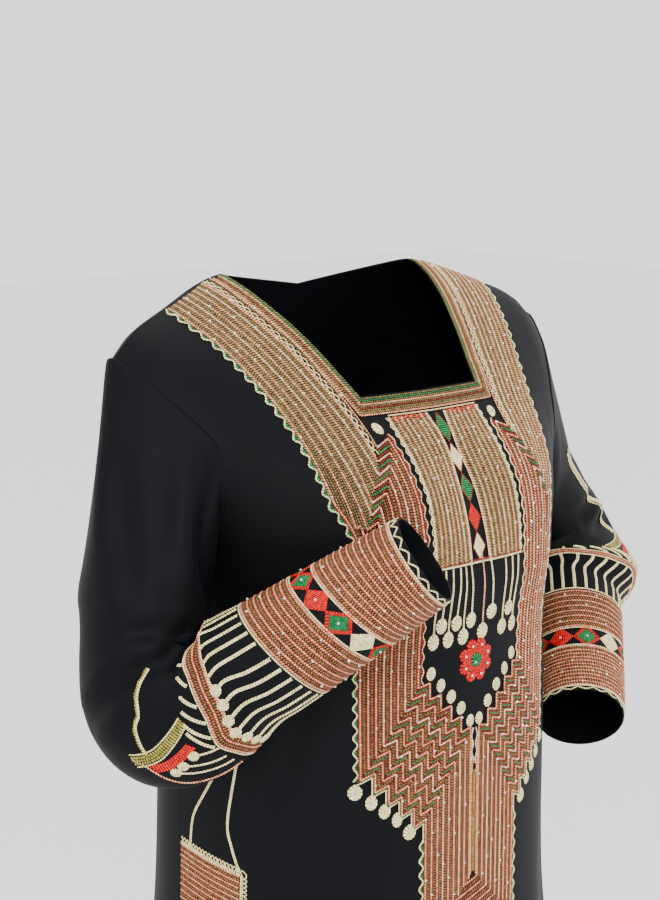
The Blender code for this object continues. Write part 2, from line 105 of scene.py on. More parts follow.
Arm = namedtuple("Arm", "side upper_start upper_end fore_start cuff half deep bag side_bag "
                        "fore_half fore_deep cuff_half cuff_deep drag inner_drag")
ARMS = {
    "right": Arm(-1, (-221, -31, -228), (-224, -36, -258), (-197, -108, -282),
                 (-106, -206, -192), 48.5, 48, 16, 0, 44, 42, 34, 38, 20, 0),
    "left": Arm(1, (230, 19, -208), (260, 25, -242), (265, -15, -318),
                (182, -101, -397), 48.5, 48, 21, 17, 47, 42, 38, 37, 14, 26),
}
BAG_SKEW = 1.1
SIDE_BAG_SKEW = 3.2
BAG_SHARPNESS = 1.5
HEAD_RINGS = 5
HEAD_LIFT = 3.5
UPPER_RINGS = 2
ELBOW_RINGS = 9
STATIONS = [130.0, 110.0, 90.0, 70.0, 49.0, 29.0, 8.0, 0.0]
DRAG_SHARES = [0, 0.15, 0.45, 0.75, 1, 1, 1, 1, 0.65, 0.45, 0.25, 0.1]
ARMHOLE_CELLS = 10     # down the front of an armhole, and down its back


# The cloth's surfaces.

def along(keys, values, at):
    """Monotone cubic through (keys, values), read at one place or an array of places."""
    keys = np.asarray(keys, float)
    values = np.asarray(values, float)
    if keys[0] > keys[-1]:
        keys, values = keys[::-1], values[::-1]
    step = np.diff(keys)
    slope = np.diff(values) / step
    bend = np.zeros(len(keys))
    bend[0], bend[-1] = slope[0], slope[-1]
    for i in range(1, len(keys) - 1):
        if slope[i - 1] * slope[i] > 0:
            first = 2 * step[i] + step[i - 1]
            second = step[i] + 2 * step[i - 1]
            bend[i] = (first + second) / (first / slope[i - 1] + second / slope[i])
    at = np.clip(np.asarray(at, float), keys[0], keys[-1])
    i = np.clip(np.searchsorted(keys, at) - 1, 0, len(step) - 1)
    t = (at - keys[i]) / step[i]
    return ((2 * t**3 - 3 * t**2 + 1) * values[i] + (t**3 - 2 * t**2 + t) * step[i] * bend[i]
            + (3 * t**2 - 2 * t**3) * values[i + 1] + (t**3 - t**2) * step[i] * bend[i + 1])


def unit(v):
    return v / np.maximum(np.linalg.norm(v, axis=-1, keepdims=True), 1e-9)


def run_of(points):
    """The distance along a line at each of its points."""
    return np.concatenate([[0], np.cumsum(np.linalg.norm(np.diff(points, axis=0), axis=1))])


def section(name, z):
    return along([row.z for row in SECTIONS], [getattr(row, name) for row in SECTIONS], z)


def ridge_z_at(x):
    return along([r.x for r in RIDGE], [r.z for r in RIDGE], x)


def cloth_y(x, z, side):
    """The cloth's outer face at x and z: side is -1 in front and +1 behind."""
    x = np.abs(x)
    reach = side * section("front" if side < 0 else "back", z)
    across = np.clip(x / section("half", z), 0, 1)
    full = reach * (1 - across**SQUARE) ** (1 / SQUARE)
    ridge_y = along([r.x for r in RIDGE], [r.y for r in RIDGE], x)
    ridge_z = ridge_z_at(x)
    power = FRONT_ROUND if side < 0 else BACK_ROUND
    full_z = FULL_Z + (UNDERARM_Z - FULL_Z) * across**4
    drop = np.clip((ridge_z - z) / (ridge_z - full_z), 0, 1)
    share = (1 - (1 - drop) ** power) ** (1 / power)
    chest = 0.0
    if side < 0:
        middle, flank = (along([row.z for row in FULLNESS],
                               [getattr(row, name) for row in FULLNESS], z)
                         for name in ("middle", "flank"))
        chest = middle * along([0, FLANK_X, CHEST_EDGE_X], [1, 0, 0], x)
        chest = chest + flank * along([0, FLANK_X, CHEST_EDGE_X], [0, 1, 0], x)
    return ridge_y * (1 - share) + full * share - chest


def fluted(points):
    """Push points of the skirt in or out by the soft folds that grow towards the hem."""
    x, y, z = points[..., 0], points[..., 1], points[..., 2]
    grown = np.clip((FLUTE_TOP - z) / (FLUTE_TOP + LENGTH), 0, 1) ** FLUTE_GROWTH
    turn = np.arctan2(y / section("front", z), x / section("half", z))
    wave = sum(f.share * np.cos(f.around * turn + f.phase) for f in FLUTES)
    out = unit(np.stack([x, y, 0 * z], axis=-1))
    return points + out * (FLUTE_DEPTH * grown * wave)[..., None]


def panel(rows, side, u, place):
    """Points of a panel: u is 0 at the middle, 1 and 2 on the band's edges, 3 at the side."""
    u, place = np.broadcast_arrays(np.asarray(u, float), np.asarray(place, float))
    count = range(len(rows))
    heights, turns = [], []
    for x_name, z_name in ((None, "mid_z"), ("inner_x", "inner_z"), ("outer_x", "outer_z"),
                           ("side_x", "side_z")):
        z = along(count, [getattr(r, z_name) for r in rows], place)
        x = along(count, [getattr(r, x_name) for r in rows], place) if x_name else 0 * place
        half = section("half", z)
        if x_name == "side_x":
            x = np.where(z <= UNDERARM_Z, half, x)
        heights.append(z)
        turns.append(np.arcsin(np.clip(x / half, 0, 1)))
    reach = np.abs(u)
    k = np.minimum(reach.astype(int), 2)
    part = reach - k
    lines = []
    for stack in (np.array(heights), np.array(turns)):
        low = np.take_along_axis(stack, k[None], 0)[0]
        high = np.take_along_axis(stack, k[None] + 1, 0)[0]
        lines.append(low + part * (high - low))
    z = lines[0]
    x = section("half", z) * np.sin(lines[1])
    near = np.clip(1 - place / RIDGE_BLEND, 0, 1)
    ridge_x = along(range(4), [0, rows[0].inner_x, rows[0].outer_x, rows[0].side_x], reach)
    x = x + near * (ridge_x - x)
    z = z + near * np.where(reach >= 1, ridge_z_at(ridge_x) - z, 0)
    return fluted(np.stack([np.sign(u) * x, cloth_y(x, z, side), z], axis=-1))


def sleeve_frames(arm):
    """Centre, axis, outward direction and half sizes of each ring below the sleeve head."""
    a, b = np.array(arm.upper_start, float), np.array(arm.upper_end, float)
    c, d = np.array(arm.fore_start, float), np.array(arm.cuff, float)
    upper, fore = unit(b - a), unit(d - c)
    upper_out = unit(-(fore - upper * np.dot(fore, upper)))
    fore_out = unit(upper - fore * np.dot(upper, fore))

    def turned(start, end, share):
        angle = np.arccos(np.clip(np.dot(start, end), -1, 1))
        return (np.sin((1 - share) * angle) * start + np.sin(share * angle) * end) / np.sin(angle)

    rings = []
    for i in range(UPPER_RINGS + 1):
        rings.append((a + (b - a) * i / UPPER_RINGS, upper, upper_out, arm.half, arm.deep))
    inner_start = b - upper_out * arm.half
    inner_end = c - fore_out * arm.fore_half
    for i in range(1, ELBOW_RINGS + 1):
        share = i / ELBOW_RINGS
        bag = arm.bag * np.sin(np.pi * share**BAG_SKEW) ** BAG_SHARPNESS
        half = arm.half + (arm.fore_half - arm.half) * share + bag
        out = turned(upper_out, fore_out, share)
        axis = turned(upper, fore, share)
        axis = unit(axis - out * np.dot(axis, out))
        centre = inner_start + (inner_end - inner_start) * share + out * half
        side_bag = arm.side_bag * np.sin(np.pi * share**SIDE_BAG_SKEW) ** BAG_SHARPNESS
        deep = arm.deep + (arm.fore_deep - arm.deep) * share + side_bag
        rings.append((centre, axis, out, half, deep))
    length = np.linalg.norm(d - c)
    for station in [(length + STATIONS[0]) / 2] + STATIONS:
        share = 1 - station / length
        half = arm.fore_half + (arm.cuff_half - arm.fore_half) * share
        deep = arm.fore_deep + (arm.cuff_deep - arm.fore_deep) * share
        rings.append((c + (d - c) * share, fore, fore_out, half, deep))
    return rings


def sleeve_grid(arm, seam, away):
    """Outer points of a sleeve, ring by ring, from the armhole to the cuff."""
    count = len(seam)
    frames = sleeve_frames(arm)
    lateral = np.array([arm.side, 0.0, 0.0])
    axis, out = frames[0][1:3]
    beside = np.cross(axis, out)
    if np.dot(np.cross(axis, lateral), [0.0, -1.0, 0.0]) < 0:
        beside = -beside
    flip = np.dot(beside, np.cross(axis, out))
    start = np.arctan2(np.dot(lateral, beside), np.dot(lateral, out))
    angles = start + np.arange(count) * 2 * np.pi / count
    tube = []
    shares = ([0] * len(frames) + DRAG_SHARES[::-1])[-len(frames):]
    for (centre, axis, out, half, deep), share in zip(frames, shares):
        beside = np.cross(axis, out) * flip
        middle = (arm.drag + arm.inner_drag) / 2
        swing = (arm.drag - arm.inner_drag) / 2
        tube.append([centre + out * half * np.cos(t) + beside * deep * np.sin(t)
                     + axis * share * (middle + swing * np.cos(t)) for t in angles])
    tube = np.array(tube)
    lifted = seam + HEAD_LIFT * unit(away + lateral)
    head = [seam + away * SEAM]
    for i in range(HEAD_RINGS):
        head.append(lifted * (1 - i / HEAD_RINGS) + tube[0] * i / HEAD_RINGS)
    return np.concatenate([np.array(head), tube])


def armhole(side):
    """Seam points round an armhole, and the way the sleeve leaves each one."""
    step = 0.01
    rows = []
    for surface, face in ((FRONT_ROWS, -1), (BACK_ROWS, 1)):
        places = np.concatenate([i + np.arange(row.cells) / row.cells
                                 for i, row in enumerate(surface[:4])] + [[4.0]])
        edge = panel(surface, face, 3.0 * side, places)
        inward = panel(surface, face, (3.0 - step) * side, places) - edge
        down = panel(surface, face, 3.0 * side, places + step) - edge
        normal = unit(np.cross(inward, down))
        normal *= np.sign(np.sum(normal * [0, face, 0.6], axis=-1, keepdims=True))
        rows.append((edge, normal))
    (front, front_n), (back, back_n) = rows
    seam = np.concatenate([front, back[-2:0:-1]])
    normal = np.concatenate([front_n, back_n[-2:0:-1]])
    for end in (0, ARMHOLE_CELLS):
        normal[end] = unit(front_n[end] + back_n[end])
    away = unit(np.cross(np.roll(seam, -1, axis=0) - np.roll(seam, 1, axis=0), normal))
    return seam, away * np.sign(away[0, 0] * side)


def finer(points, times, around):
    """Catmull-Rom rows between the rows of a grid; around closes it on itself."""
    count = len(points)
    ends = count if around else count - 1
    at = np.arange(ends * times + (0 if around else 1)) / times
    i = np.minimum(at.astype(int), ends - 1)
    t = (at - i).reshape(-1, *([1] * (points.ndim - 1)))
    if around:
        p0, p1, p2, p3 = (points[(i + k) % count] for k in (-1, 0, 1, 2))
    else:
        p0, p1, p2, p3 = (points[np.clip(i + k, 0, count - 1)] for k in (-1, 0, 1, 2))
    return 0.5 * (2 * p1 + (p2 - p0) * t + (2 * p0 - 5 * p1 + 4 * p2 - p3) * t**2
                  + (3 * p1 - p0 - 3 * p2 + p3) * t**3)


# Creases are soft troughs, or ridges where the depth is positive, along a path. On the body
# the path is in space. Low banks run beside each one, and it dies out towards its ends.
BANK_HEIGHT = 0.35     # of the crease's depth
BANK_AT = 1.9          # widths from the crease's middle
BANK_WIDTH = 0.8
END_POWER = 0.7
Crease = namedtuple("Crease", "depth width path")
BODY_CREASES = [
    # Under the bust, from the side seams.
    Crease(-2.2, 9, [(-168, -40, -235), (-135, -95, -262), (-112, -118, -300)]),
    Crease(-1.6, 8, [(-166, -50, -262), (-140, -92, -300), (-122, -108, -345)]),
    Crease(-2.0, 9, [(168, -40, -240), (138, -92, -268), (118, -112, -312)]),
    Crease(-1.5, 8, [(166, -50, -268), (142, -90, -310), (128, -104, -352)]),
    # From the waist out to the hips.
    Crease(-2.6, 9, [(-116, -113, -295), (-132, -100, -342), (-142, -89, -378),
                     (-154, -72, -420)]),
    Crease(-2.2, 9, [(121, -111, -302), (136, -98, -350), (150, -80, -412)]),
    # From the shoulders down towards the underarm.
    Crease(-1.6, 10, [(-196, -10, -62), (-188, -40, -110), (-178, -62, -165)]),
    Crease(-1.4, 10, [(194, -8, -60), (188, -40, -112), (178, -62, -170)]),
    # Down the skirt, in front.
    Crease(-3.2, 17, [(-128, -110, -420), (-136, -112, -640), (-150, -125, -900),
                      (-170, -140, -1180), (-190, -150, -1500)]),
    Crease(2.6, 18, [(-88, -132, -470), (-96, -140, -700), (-108, -160, -950),
                     (-120, -180, -1500)]),
    Crease(-3.0, 16, [(118, -118, -430), (128, -120, -660), (140, -135, -900), (160, -160, -1500)]),
    Crease(2.4, 18, [(76, -138, -520), (84, -150, -760), (96, -175, -1050), (110, -200, -1500)]),
    Crease(-2.6, 16, [(-30, -152, -560), (-34, -164, -800), (-40, -190, -1100),
                      (-46, -220, -1500)]),
    Crease(-2.4, 15, [(28, -152, -600), (34, -170, -850), (42, -195, -1150), (50, -220, -1500)]),
    # The back: a drape between the shoulder blades and folds down the skirt.
    Crease(-1.8, 12, [(-150, 40, -110), (-100, 78, -150), (-40, 92, -190)]),
    Crease(-1.6, 12, [(148, 42, -112), (96, 80, -158), (36, 94, -200)]),
    Crease(-3.2, 17, [(-120, 72, -360), (-128, 82, -600), (-140, 110, -900), (-160, 150, -1500)]),
    Crease(2.6, 18, [(-60, 96, -380), (-66, 118, -700), (-76, 160, -1000), (-88, 215, -1500)]),
    Crease(-3.0, 16, [(-8, 105, -420), (-10, 130, -720), (-12, 175, -1050), (-14, 225, -1500)]),
    Crease(2.4, 17, [(54, 98, -400), (62, 122, -720), (72, 165, -1050), (86, 210, -1500)]),
    Crease(-3.0, 17, [(116, 76, -370), (126, 86, -640), (140, 120, -950), (162, 160, -1500)]),
    Crease(-1.6, 10, [(-160, 30, -250), (-120, 72, -275), (-80, 90, -310)]),
    Crease(-1.4, 10, [(160, 30, -255), (118, 74, -285), (76, 92, -322)]),
]
# On the sleeves a path runs through ring numbers and places round the ring.
SLEEVE_CREASES = {
    "right": [
        Crease(-5.1, 8, [(9.6, 5.6), (8.3, 4.2), (7.9, 2.2)]),
        Crease(3.5, 7, [(9.9, 5.2), (9.2, 3.6), (8.9, 1.6)]),
        Crease(-4.8, 8, [(11.0, 4.6), (10.4, 3.0), (10.6, 0.4), (10.9, -1.8)]),
        Crease(-4.2, 7, [(12.2, 3.4), (11.2, 4.2), (10.2, 5.4)]),
        Crease(-5.4, 10, [(0.8, 4.6), (3.2, 5.4), (6.6, 7.4), (9.0, 8.2)]),
        Crease(3.8, 10, [(1.6, 2.6), (4.0, 3.8), (7.0, 5.6)]),
        Crease(-3.5, 10, [(2.6, 0.6), (4.6, 1.4), (6.8, 3.2)]),
        Crease(-5.1, 8, [(9.4, 8.6), (8.8, 10.6), (9.0, 13.0)]),
        Crease(-4.5, 8, [(11.2, 9.0), (11.0, 11.0), (10.6, 13.6)]),
        Crease(-3.8, 10, [(2.0, 9.4), (4.4, 10.6), (7.4, 12.6)]),
        Crease(-4.2, 11, [(1.6, 16.0), (4.4, 15.4), (7.6, 16.4)]),
        Crease(2.6, 10, [(13.0, 13.0), (15.0, 14.2), (18.0, 15.6)]),
    ],
    "left": [
        Crease(-5.1, 8, [(10.2, 5.0), (11.2, 3.9), (11.8, 2.2)]),
        Crease(-4.5, 8, [(9.6, 6.4), (9.0, 4.4), (9.0, 2.6)]),
        Crease(3.2, 8, [(10.4, 6.4), (10.2, 4.4), (10.4, 2.0)]),
        Crease(-4.8, 10, [(1.0, 6.0), (3.4, 6.6), (6.8, 7.4), (9.2, 7.6)]),
        Crease(3.5, 10, [(1.4, 8.4), (4.2, 8.8), (7.4, 8.4)]),
        Crease(-3.8, 10, [(1.8, 12.0), (4.6, 11.4), (7.8, 10.2)]),
        Crease(-4.8, 8, [(10.4, 9.0), (10.8, 11.4), (10.4, 13.8)]),
        Crease(-4.2, 9, [(8.6, 9.4), (8.2, 11.8), (8.4, 14.2)]),
        Crease(-3.8, 11, [(2.0, 16.6), (5.0, 17.2), (8.2, 18.0)]),
        Crease(2.6, 10, [(13.2, 12.6), (15.4, 13.2), (18.2, 12.4)]),
    ],
}


def crease_height(points, creases):
    """How far the creases near some points move the cloth out."""
    total = np.zeros(points.shape[:-1])
    for crease in creases:
        path = np.array(crease.path, float)
        near = np.full(total.shape, np.inf)
        share = np.zeros(total.shape)
        for k in range(len(path) - 1):
            span = path[k + 1] - path[k]
            t = np.clip(((points - path[k]) @ span) / (span @ span), 0, 1)
            gap = np.linalg.norm(points - path[k] - t[..., None] * span, axis=-1)
            share = np.where(gap < near, (k + t) / (len(path) - 1), share)
            near = np.minimum(gap, near)
        across = near / crease.width
        bank = BANK_HEIGHT * np.exp(-((across - BANK_AT) / BANK_WIDTH) ** 2)
        profile = np.exp(-across**2) - bank
        total += crease.depth * profile * np.sin(np.pi * share) ** END_POWER
    return total


def front_at(x, z):
    """Points and normals of the creased front at x and z."""
    x, z = np.broadcast_arrays(np.asarray(x, float), np.asarray(z, float))
    z = np.minimum(z, ridge_z_at(np.abs(x)) - 0.4)
    step = 0.3

    def spot(dx, dz):
        return fluted(np.stack([x + dx, cloth_y(x + dx, z + dz, -1), z + dz], axis=-1))

    point = spot(0, 0)
    normal = unit(np.cross(spot(step, 0) - spot(-step, 0), spot(0, step) - spot(0, -step)))
    return point + normal * crease_height(point, BODY_CREASES)[..., None], normal


class Sleeve:
    """A sleeve's fine grid, read by ring and by place round the ring."""
    TIMES = 8

    def __init__(self, name):
        arm = ARMS[name]
        seam, away = armhole(arm.side)
        coarse = sleeve_grid(arm, seam, away)
        grid = finer(coarse, self.TIMES, False)
        grid = finer(grid.transpose(1, 0, 2), self.TIMES, True).transpose(1, 0, 2)
        down = np.gradient(grid, axis=0)
        normal = unit(np.cross(np.roll(grid, -1, axis=1) - np.roll(grid, 1, axis=1), down))
        if np.sum(normal * (grid - grid.mean(axis=1, keepdims=True))) < 0:
            normal = -normal
        fade = np.clip(np.arange(len(grid)) / (2.0 * self.TIMES), 0, 1)[:, None]
        self.grid, self.normal = grid, normal
        creases = []
        for crease in SLEEVE_CREASES[name]:
            rings, turns = finer(np.array(crease.path, float), 6, False).T
            creases.append(crease._replace(path=self.at(rings, turns)[0]))
        height = crease_height(grid, creases) * fade
        self.grid = grid + normal * height[..., None]
        length = np.linalg.norm(np.subtract(arm.cuff, arm.fore_start))
        last = len(coarse) - 1
        self.stations = STATIONS[::-1] + [(length + STATIONS[0]) / 2, length]
        self.station_rings = [last - i for i in range(len(STATIONS) + 2)]

    def ring(self, station):
        """The ring number at a distance up from the cuff."""
        return np.interp(station, self.stations, self.station_rings)

    def at(self, ring, turn):
        """Points and normals at ring numbers and places round them."""
        ring, turn = np.broadcast_arrays(np.asarray(ring, float), np.asarray(turn, float))
        a = np.clip(ring * self.TIMES, 0, len(self.grid) - 1.001)
        b = (turn * self.TIMES + 1e-6) % self.grid.shape[1]
        i, j = a.astype(int), b.astype(int)
        k = (j + 1) % self.grid.shape[1]
        s, t = (a - i)[..., None], (b - j)[..., None]
        out = []
        for field in (self.grid, self.normal):
            out.append((field[i, j] * (1 - t) + field[i, k] * t) * (1 - s)
                       + (field[i + 1, j] * (1 - t) + field[i + 1, k] * t) * s)
        return out[0], unit(out[1])


# Materials.

def hexa(code):
    """Linear colour from an sRGB hex code."""
    values = [int(code[i:i + 2], 16) / 255 for i in (1, 3, 5)]
    linear = [v / 12.92 if v <= 0.04045 else ((v + 0.055) / 1.055) ** 2.4 for v in values]
    return (*linear, 1.0)


def feed(tree, made, inputs):
    """Give a node its inputs: each is a value, or a socket to link from."""
    for key, value in inputs.items():
        if isinstance(value, bpy.types.NodeSocket):
            tree.links.new(value, made.inputs[key])
        else:
            made.inputs[key].default_value = value


def node(tree, kind, settings=None, **inputs):
    """Add a node with its settings and inputs."""
    made = tree.nodes.new(kind)
    for key, value in (settings or {}).items():
        setattr(made, key, value)
    feed(tree, made, inputs)
    return made


def math_node(tree, operation, *values):
    """The result of a math node on some values or sockets."""
    made = node(tree, "ShaderNodeMath", {"operation": operation})
    feed(tree, made, dict(enumerate(values)))
    return made.outputs[0]


def blank(name, values):
    """A material, its node tree and its shader, which is given some values."""
    made = bpy.data.materials.new(name)
    made.use_nodes = True
    shader = made.node_tree.nodes["Principled BSDF"]
    feed(made.node_tree, shader, values)
    return made, made.node_tree, shader


def crepe():
    """Polyester crepe: matt black with a blue cast and a faint pebbled weave."""
    made, tree, shader = blank("black_crepe", {
        "Roughness": 0.6, "Specular IOR Level": 0.09, "Sheen Weight": 0.02,
        "Sheen Roughness": 0.4, "Sheen Tint": hexa("#8890a8")})
    place = node(tree, "ShaderNodeTexCoord").outputs["Object"]
    # Crepe yarns lie 0.4 mm apart; drawn at 0.8 mm so that the render shows them.
    weave = node(tree, "ShaderNodeTexNoise", Vector=place, Scale=1250.0, Detail=2.0)
    wash = node(tree, "ShaderNodeTexNoise", Vector=place, Scale=9.0, Detail=3.0)
    colour = node(tree, "ShaderNodeValToRGB", Fac=wash.outputs["Fac"])
    colour.color_ramp.elements[0].color = hexa("#040508")
    colour.color_ramp.elements[1].color = hexa("#08090d")
    bump = node(tree, "ShaderNodeBump", Strength=0.25, Distance=0.0004,
                Height=weave.outputs["Fac"])
    feed(tree, shader, {"Base Color": colour.outputs["Color"], "Normal": bump.outputs["Normal"]})
    return made


STITCH_SLANT = 0.9     # how far a stitch's sides run ahead of its middle, in stitches


def thread(name, main, dark, light, shine=0.1):
    """Twisted rayon thread: silky, with darker gaps between stitches that run in a V. The dark gaps
    are painted shade and the light crests of the stitches a painted highlight.
    """
    made, tree, shader = blank(name, {"Roughness": 0.5, "Specular IOR Level": shine})
    uv = node(tree, "ShaderNodeUVMap", {"uv_map": "stitch"}).outputs["UV"]
    split = node(tree, "ShaderNodeSeparateXYZ", Vector=uv)
    side = math_node(tree, "ABSOLUTE", math_node(tree, "SUBTRACT", split.outputs["X"], 0.5))
    lean = math_node(tree, "MULTIPLY_ADD", side, STITCH_SLANT, split.outputs["Y"])
    hump = math_node(tree, "PINGPONG", math_node(tree, "FRACT", lean), 0.5)
    place = node(tree, "ShaderNodeTexCoord").outputs["Object"]
    fleck = node(tree, "ShaderNodeTexNoise", Vector=place, Scale=420.0, Detail=1.0)
    # Painted light: the ramp gives the gaps between stitches the dark colour, as painted shade, and
    # each stitch's crest the light colour, as a painted highlight; the noise varies the tone at
    # random.
    tone = math_node(tree, "MULTIPLY_ADD", fleck.outputs["Fac"], 0.5, hump)
    colour = node(tree, "ShaderNodeValToRGB", Fac=tone)
    ramp = colour.color_ramp
    ramp.elements[0].position, ramp.elements[1].position = 0.34, 0.76
    ramp.elements[0].color, ramp.elements[1].color = hexa(dark), hexa(light)
    ramp.elements.new(0.52).color = hexa(main)
    bump = node(tree, "ShaderNodeBump", Strength=0.6, Distance=0.0005, Height=hump)
    feed(tree, shader, {"Base Color": colour.outputs["Color"], "Normal": bump.outputs["Normal"]})
    return made


CREPE = crepe()
# Each thread: its main colour, a dark colour that is painted shade in the gaps between stitches, a
# light colour that is a painted highlight on their crests, and its shine.
THREADS = {
    "salmon": thread("salmon_rayon", "#ea9166", "#6c2012", "#ffd6b4", 0.18),
    "blush": thread("blush_rayon", "#f4c09c", "#804628", "#ffecd8", 0.18),
    "brick": thread("brick_rayon", "#7e2418", "#1c0504", "#b44636"),
    "olive": thread("olive_rayon", "#5a4c24", "#080402", "#a39358"),
    "tan": thread("tan_rayon", "#7e5e32", "#150a05", "#b8986a"),
    "green": thread("green_rayon", "#06682f", "#021d0d", "#219a59", 0.15),
    "cream": thread("cream_rayon", "#fbe9a4", "#8c742c", "#fffdd8", 0.25),
    "gold": thread("gold_rayon", "#8a7a26", "#281f08", "#cabd5c", 0.25),
    "red": thread("red_rayon", "#c80705", "#560201", "#f02c1a", 0.15),
    # The ground: closed stitching under the rows, near black so that it is also painted shade in
    # the gaps between them.
    "ground": thread("ground_stitch_and_gap_shade", "#160806", "#070302", "#280e0a", 0.05),
}
# Foil-backed glass stone: a bright white glint.
STONE = blank("rhinestone", {"Base Color": hexa("#f4f3ee"), "Metallic": 0.35,
                             "Roughness": 0.12, "Coat Weight": 0.6})[0]

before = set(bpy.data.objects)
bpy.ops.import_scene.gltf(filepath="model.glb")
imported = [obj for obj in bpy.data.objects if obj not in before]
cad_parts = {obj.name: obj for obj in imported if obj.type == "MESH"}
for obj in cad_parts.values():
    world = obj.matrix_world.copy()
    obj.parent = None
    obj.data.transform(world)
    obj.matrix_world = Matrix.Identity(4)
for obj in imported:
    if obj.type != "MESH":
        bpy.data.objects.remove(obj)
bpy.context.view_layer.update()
COLLECTION = bpy.context.scene.collection


# Meshes.

def mesh_of(name, points, faces, uv=None):
    """A mesh from points in metres and a list of faces, and a stitch map by its points."""
    mesh = bpy.data.meshes.new(name)
    mesh.from_pydata(points.tolist(), [], faces)
    if uv is not None:
        layer = mesh.uv_layers.new(name="stitch")
        index = np.zeros(len(mesh.loops), int)
        mesh.loops.foreach_get("vertex_index", index)
        layer.data.foreach_set("uv", uv.astype(np.float32)[index].ravel())
    return mesh


def placed(name, mesh):
    """An object on the body."""
    piece = bpy.data.objects.new(name, mesh)
    COLLECTION.objects.link(piece)
    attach(piece, "root")
    return piece


def mesh_object(name, points, faces, finish, uv=None):
    """An object from points in millimetres and a list of faces."""
    mesh = mesh_of(name, points * MM, faces, uv)
    mesh.materials.append(finish)
    mesh.polygons.foreach_set("use_smooth", [True] * len(mesh.polygons))
    mesh.update()
    return placed(name, mesh)


def shell(name, outer, normal, keep, thickness, finish):
    """A thin closed wall over the kept cells of a grid, with its rims."""
    width = outer.shape[1]
    count = outer.shape[0] * width
    i, j = np.nonzero(keep)
    k = (j + 1) % width
    a, b, c, d = i * width + j, i * width + k, (i + 1) * width + k, (i + 1) * width + j
    if np.sum(np.cross(outer[i, k] - outer[i, j], outer[i + 1, j] - outer[i, j])
              * normal[i, j]) < 0:
        b, d = d, b
    skin = np.stack([a, b, c, d], axis=1)
    edges = np.concatenate([skin[:, [n, (n + 1) % 4]] for n in range(4)])
    known = {(p, q) for p, q in edges.tolist()}
    rim = np.array([(q, p, p + count, q + count) for p, q in edges.tolist()
                    if (q, p) not in known])
    inner = outer - normal * thickness
    faces = np.concatenate([skin, skin[:, ::-1] + count, rim])
    points = np.concatenate([outer.reshape(-1, 3), inner.reshape(-1, 3)])
    used = np.unique(faces)
    renumber = np.full(len(points), -1)
    renumber[used] = np.arange(len(used))
    piece = mesh_object(name, points[used], renumber[faces].tolist(), finish)
    piece.data.set_sharp_from_angle(angle=np.radians(50))
    return piece


def grid_faces(rows, columns):
    """Four-sided faces over a grid of points, as point numbers."""
    i, j = np.meshgrid(np.arange(rows - 1), np.arange(columns - 1), indexing="ij")
    first = (i * columns + j).ravel()
    return np.stack([first, first + 1, first + columns + 1, first + columns], axis=1)


STITCH = 2.2           # length of a chain stitch
SWELL = 0.3            # the share of a row's height lost between two stitches
RIDGE_SIDES = 2


class Rows:
    """Rows of stitches of one thread, gathered into one mesh."""

    def __init__(self, name, colour):
        self.name, self.colour = name, colour
        self.points, self.faces, self.uv, self.count, self.rows = [], [], [], 0, 0

    def gather(self, points, faces, uv):
        """Add points, their faces, which count from the first of them, and their stitch map."""
        self.faces.append(faces + self.count)
        self.points.append(points)
        self.uv.append(uv)
        self.count += len(points)

    def add(self, line, width, height, lift):
        """A ridge of stitches along a line of points and normals."""
        self.rows += 1
        points, normal = line
        if len(points) < 2:
            return
        across = unit(np.cross(normal, unit(np.gradient(points, axis=0))))
        run = run_of(points) + STITCH * (self.rows * GOLDEN % 1)
        angle = np.linspace(0, np.pi, RIDGE_SIDES + 1)[None, :, None]
        rise = height * (1 - SWELL * np.abs(np.cos(np.pi * run / STITCH)))[:, None, None]
        ring = (points[:, None] + across[:, None] * np.cos(angle) * width / 2
                + normal[:, None] * (lift + np.sin(angle) * rise))
        u, v = np.meshgrid(np.linspace(0, 1, RIDGE_SIDES + 1), run / STITCH)
        self.gather(ring.reshape(-1, 3), grid_faces(len(points), RIDGE_SIDES + 1),
                    np.stack([u, v], axis=-1).reshape(-1, 2))

    def patch(self, middle, normal, outline, domed, lift):
        """A padded patch of satin stitch: a low dome, with rays, over an outline."""
        count = len(outline)
        ray = np.cos(np.arange(count) * np.pi)[:, None] * 0.12
        levels = [outline + normal * (lift - 0.3)]
        for share in np.linspace(1, 0, 4)[:-1]:
            levels.append(middle + (outline - middle) * share
                          + normal * (lift + 0.45 * domed + domed * (1 - share**2) + ray))
        block = np.concatenate(levels + [middle[None] + normal * (lift + 1.45 * domed)])
        i = np.arange(count)
        k = (i + 1) % count
        faces = [np.stack([i, k, k + count, i + count], axis=1) + level * count
                 for level in range(len(levels) - 1)]
        top = (len(levels) - 1) * count
        tip = np.full(count, len(block) - 1)
        faces.append(np.stack([top + i, top + k, tip, tip], axis=1))
        uv = [np.stack([np.full(count, 0.5), i / 2.0], axis=1)] * len(levels)
        self.gather(block, np.concatenate(faces), np.concatenate(uv + [[[0.5, 0.25]]]))

    def finish(self):
        """The rows as one object. A face whose last two points are one is a triangle."""
        faces = [f[:3] if f[2] == f[3] else f for f in np.concatenate(self.faces).tolist()]
        return mesh_object(self.name, np.concatenate(self.points), faces, THREADS[self.colour],
                           np.concatenate(self.uv))


def resampled(places, points, step):
    """Places along a line, spread evenly by their distance in space."""
    run = run_of(points)
    at = np.linspace(0, run[-1], max(2, int(round(run[-1] / step)) + 1))
    return np.stack([np.interp(at, run, places[:, k]) for k in range(2)], axis=1)


def dense(places, count=12):
    """Straight runs between places, cut into short pieces."""
    places = np.asarray(places, float)
    t = np.linspace(0, 1, count, endpoint=False)[:, None]
    runs = [a + (b - a) * t for a, b in zip(places[:-1], places[1:])]
    return np.concatenate(runs + [places[-1:]])


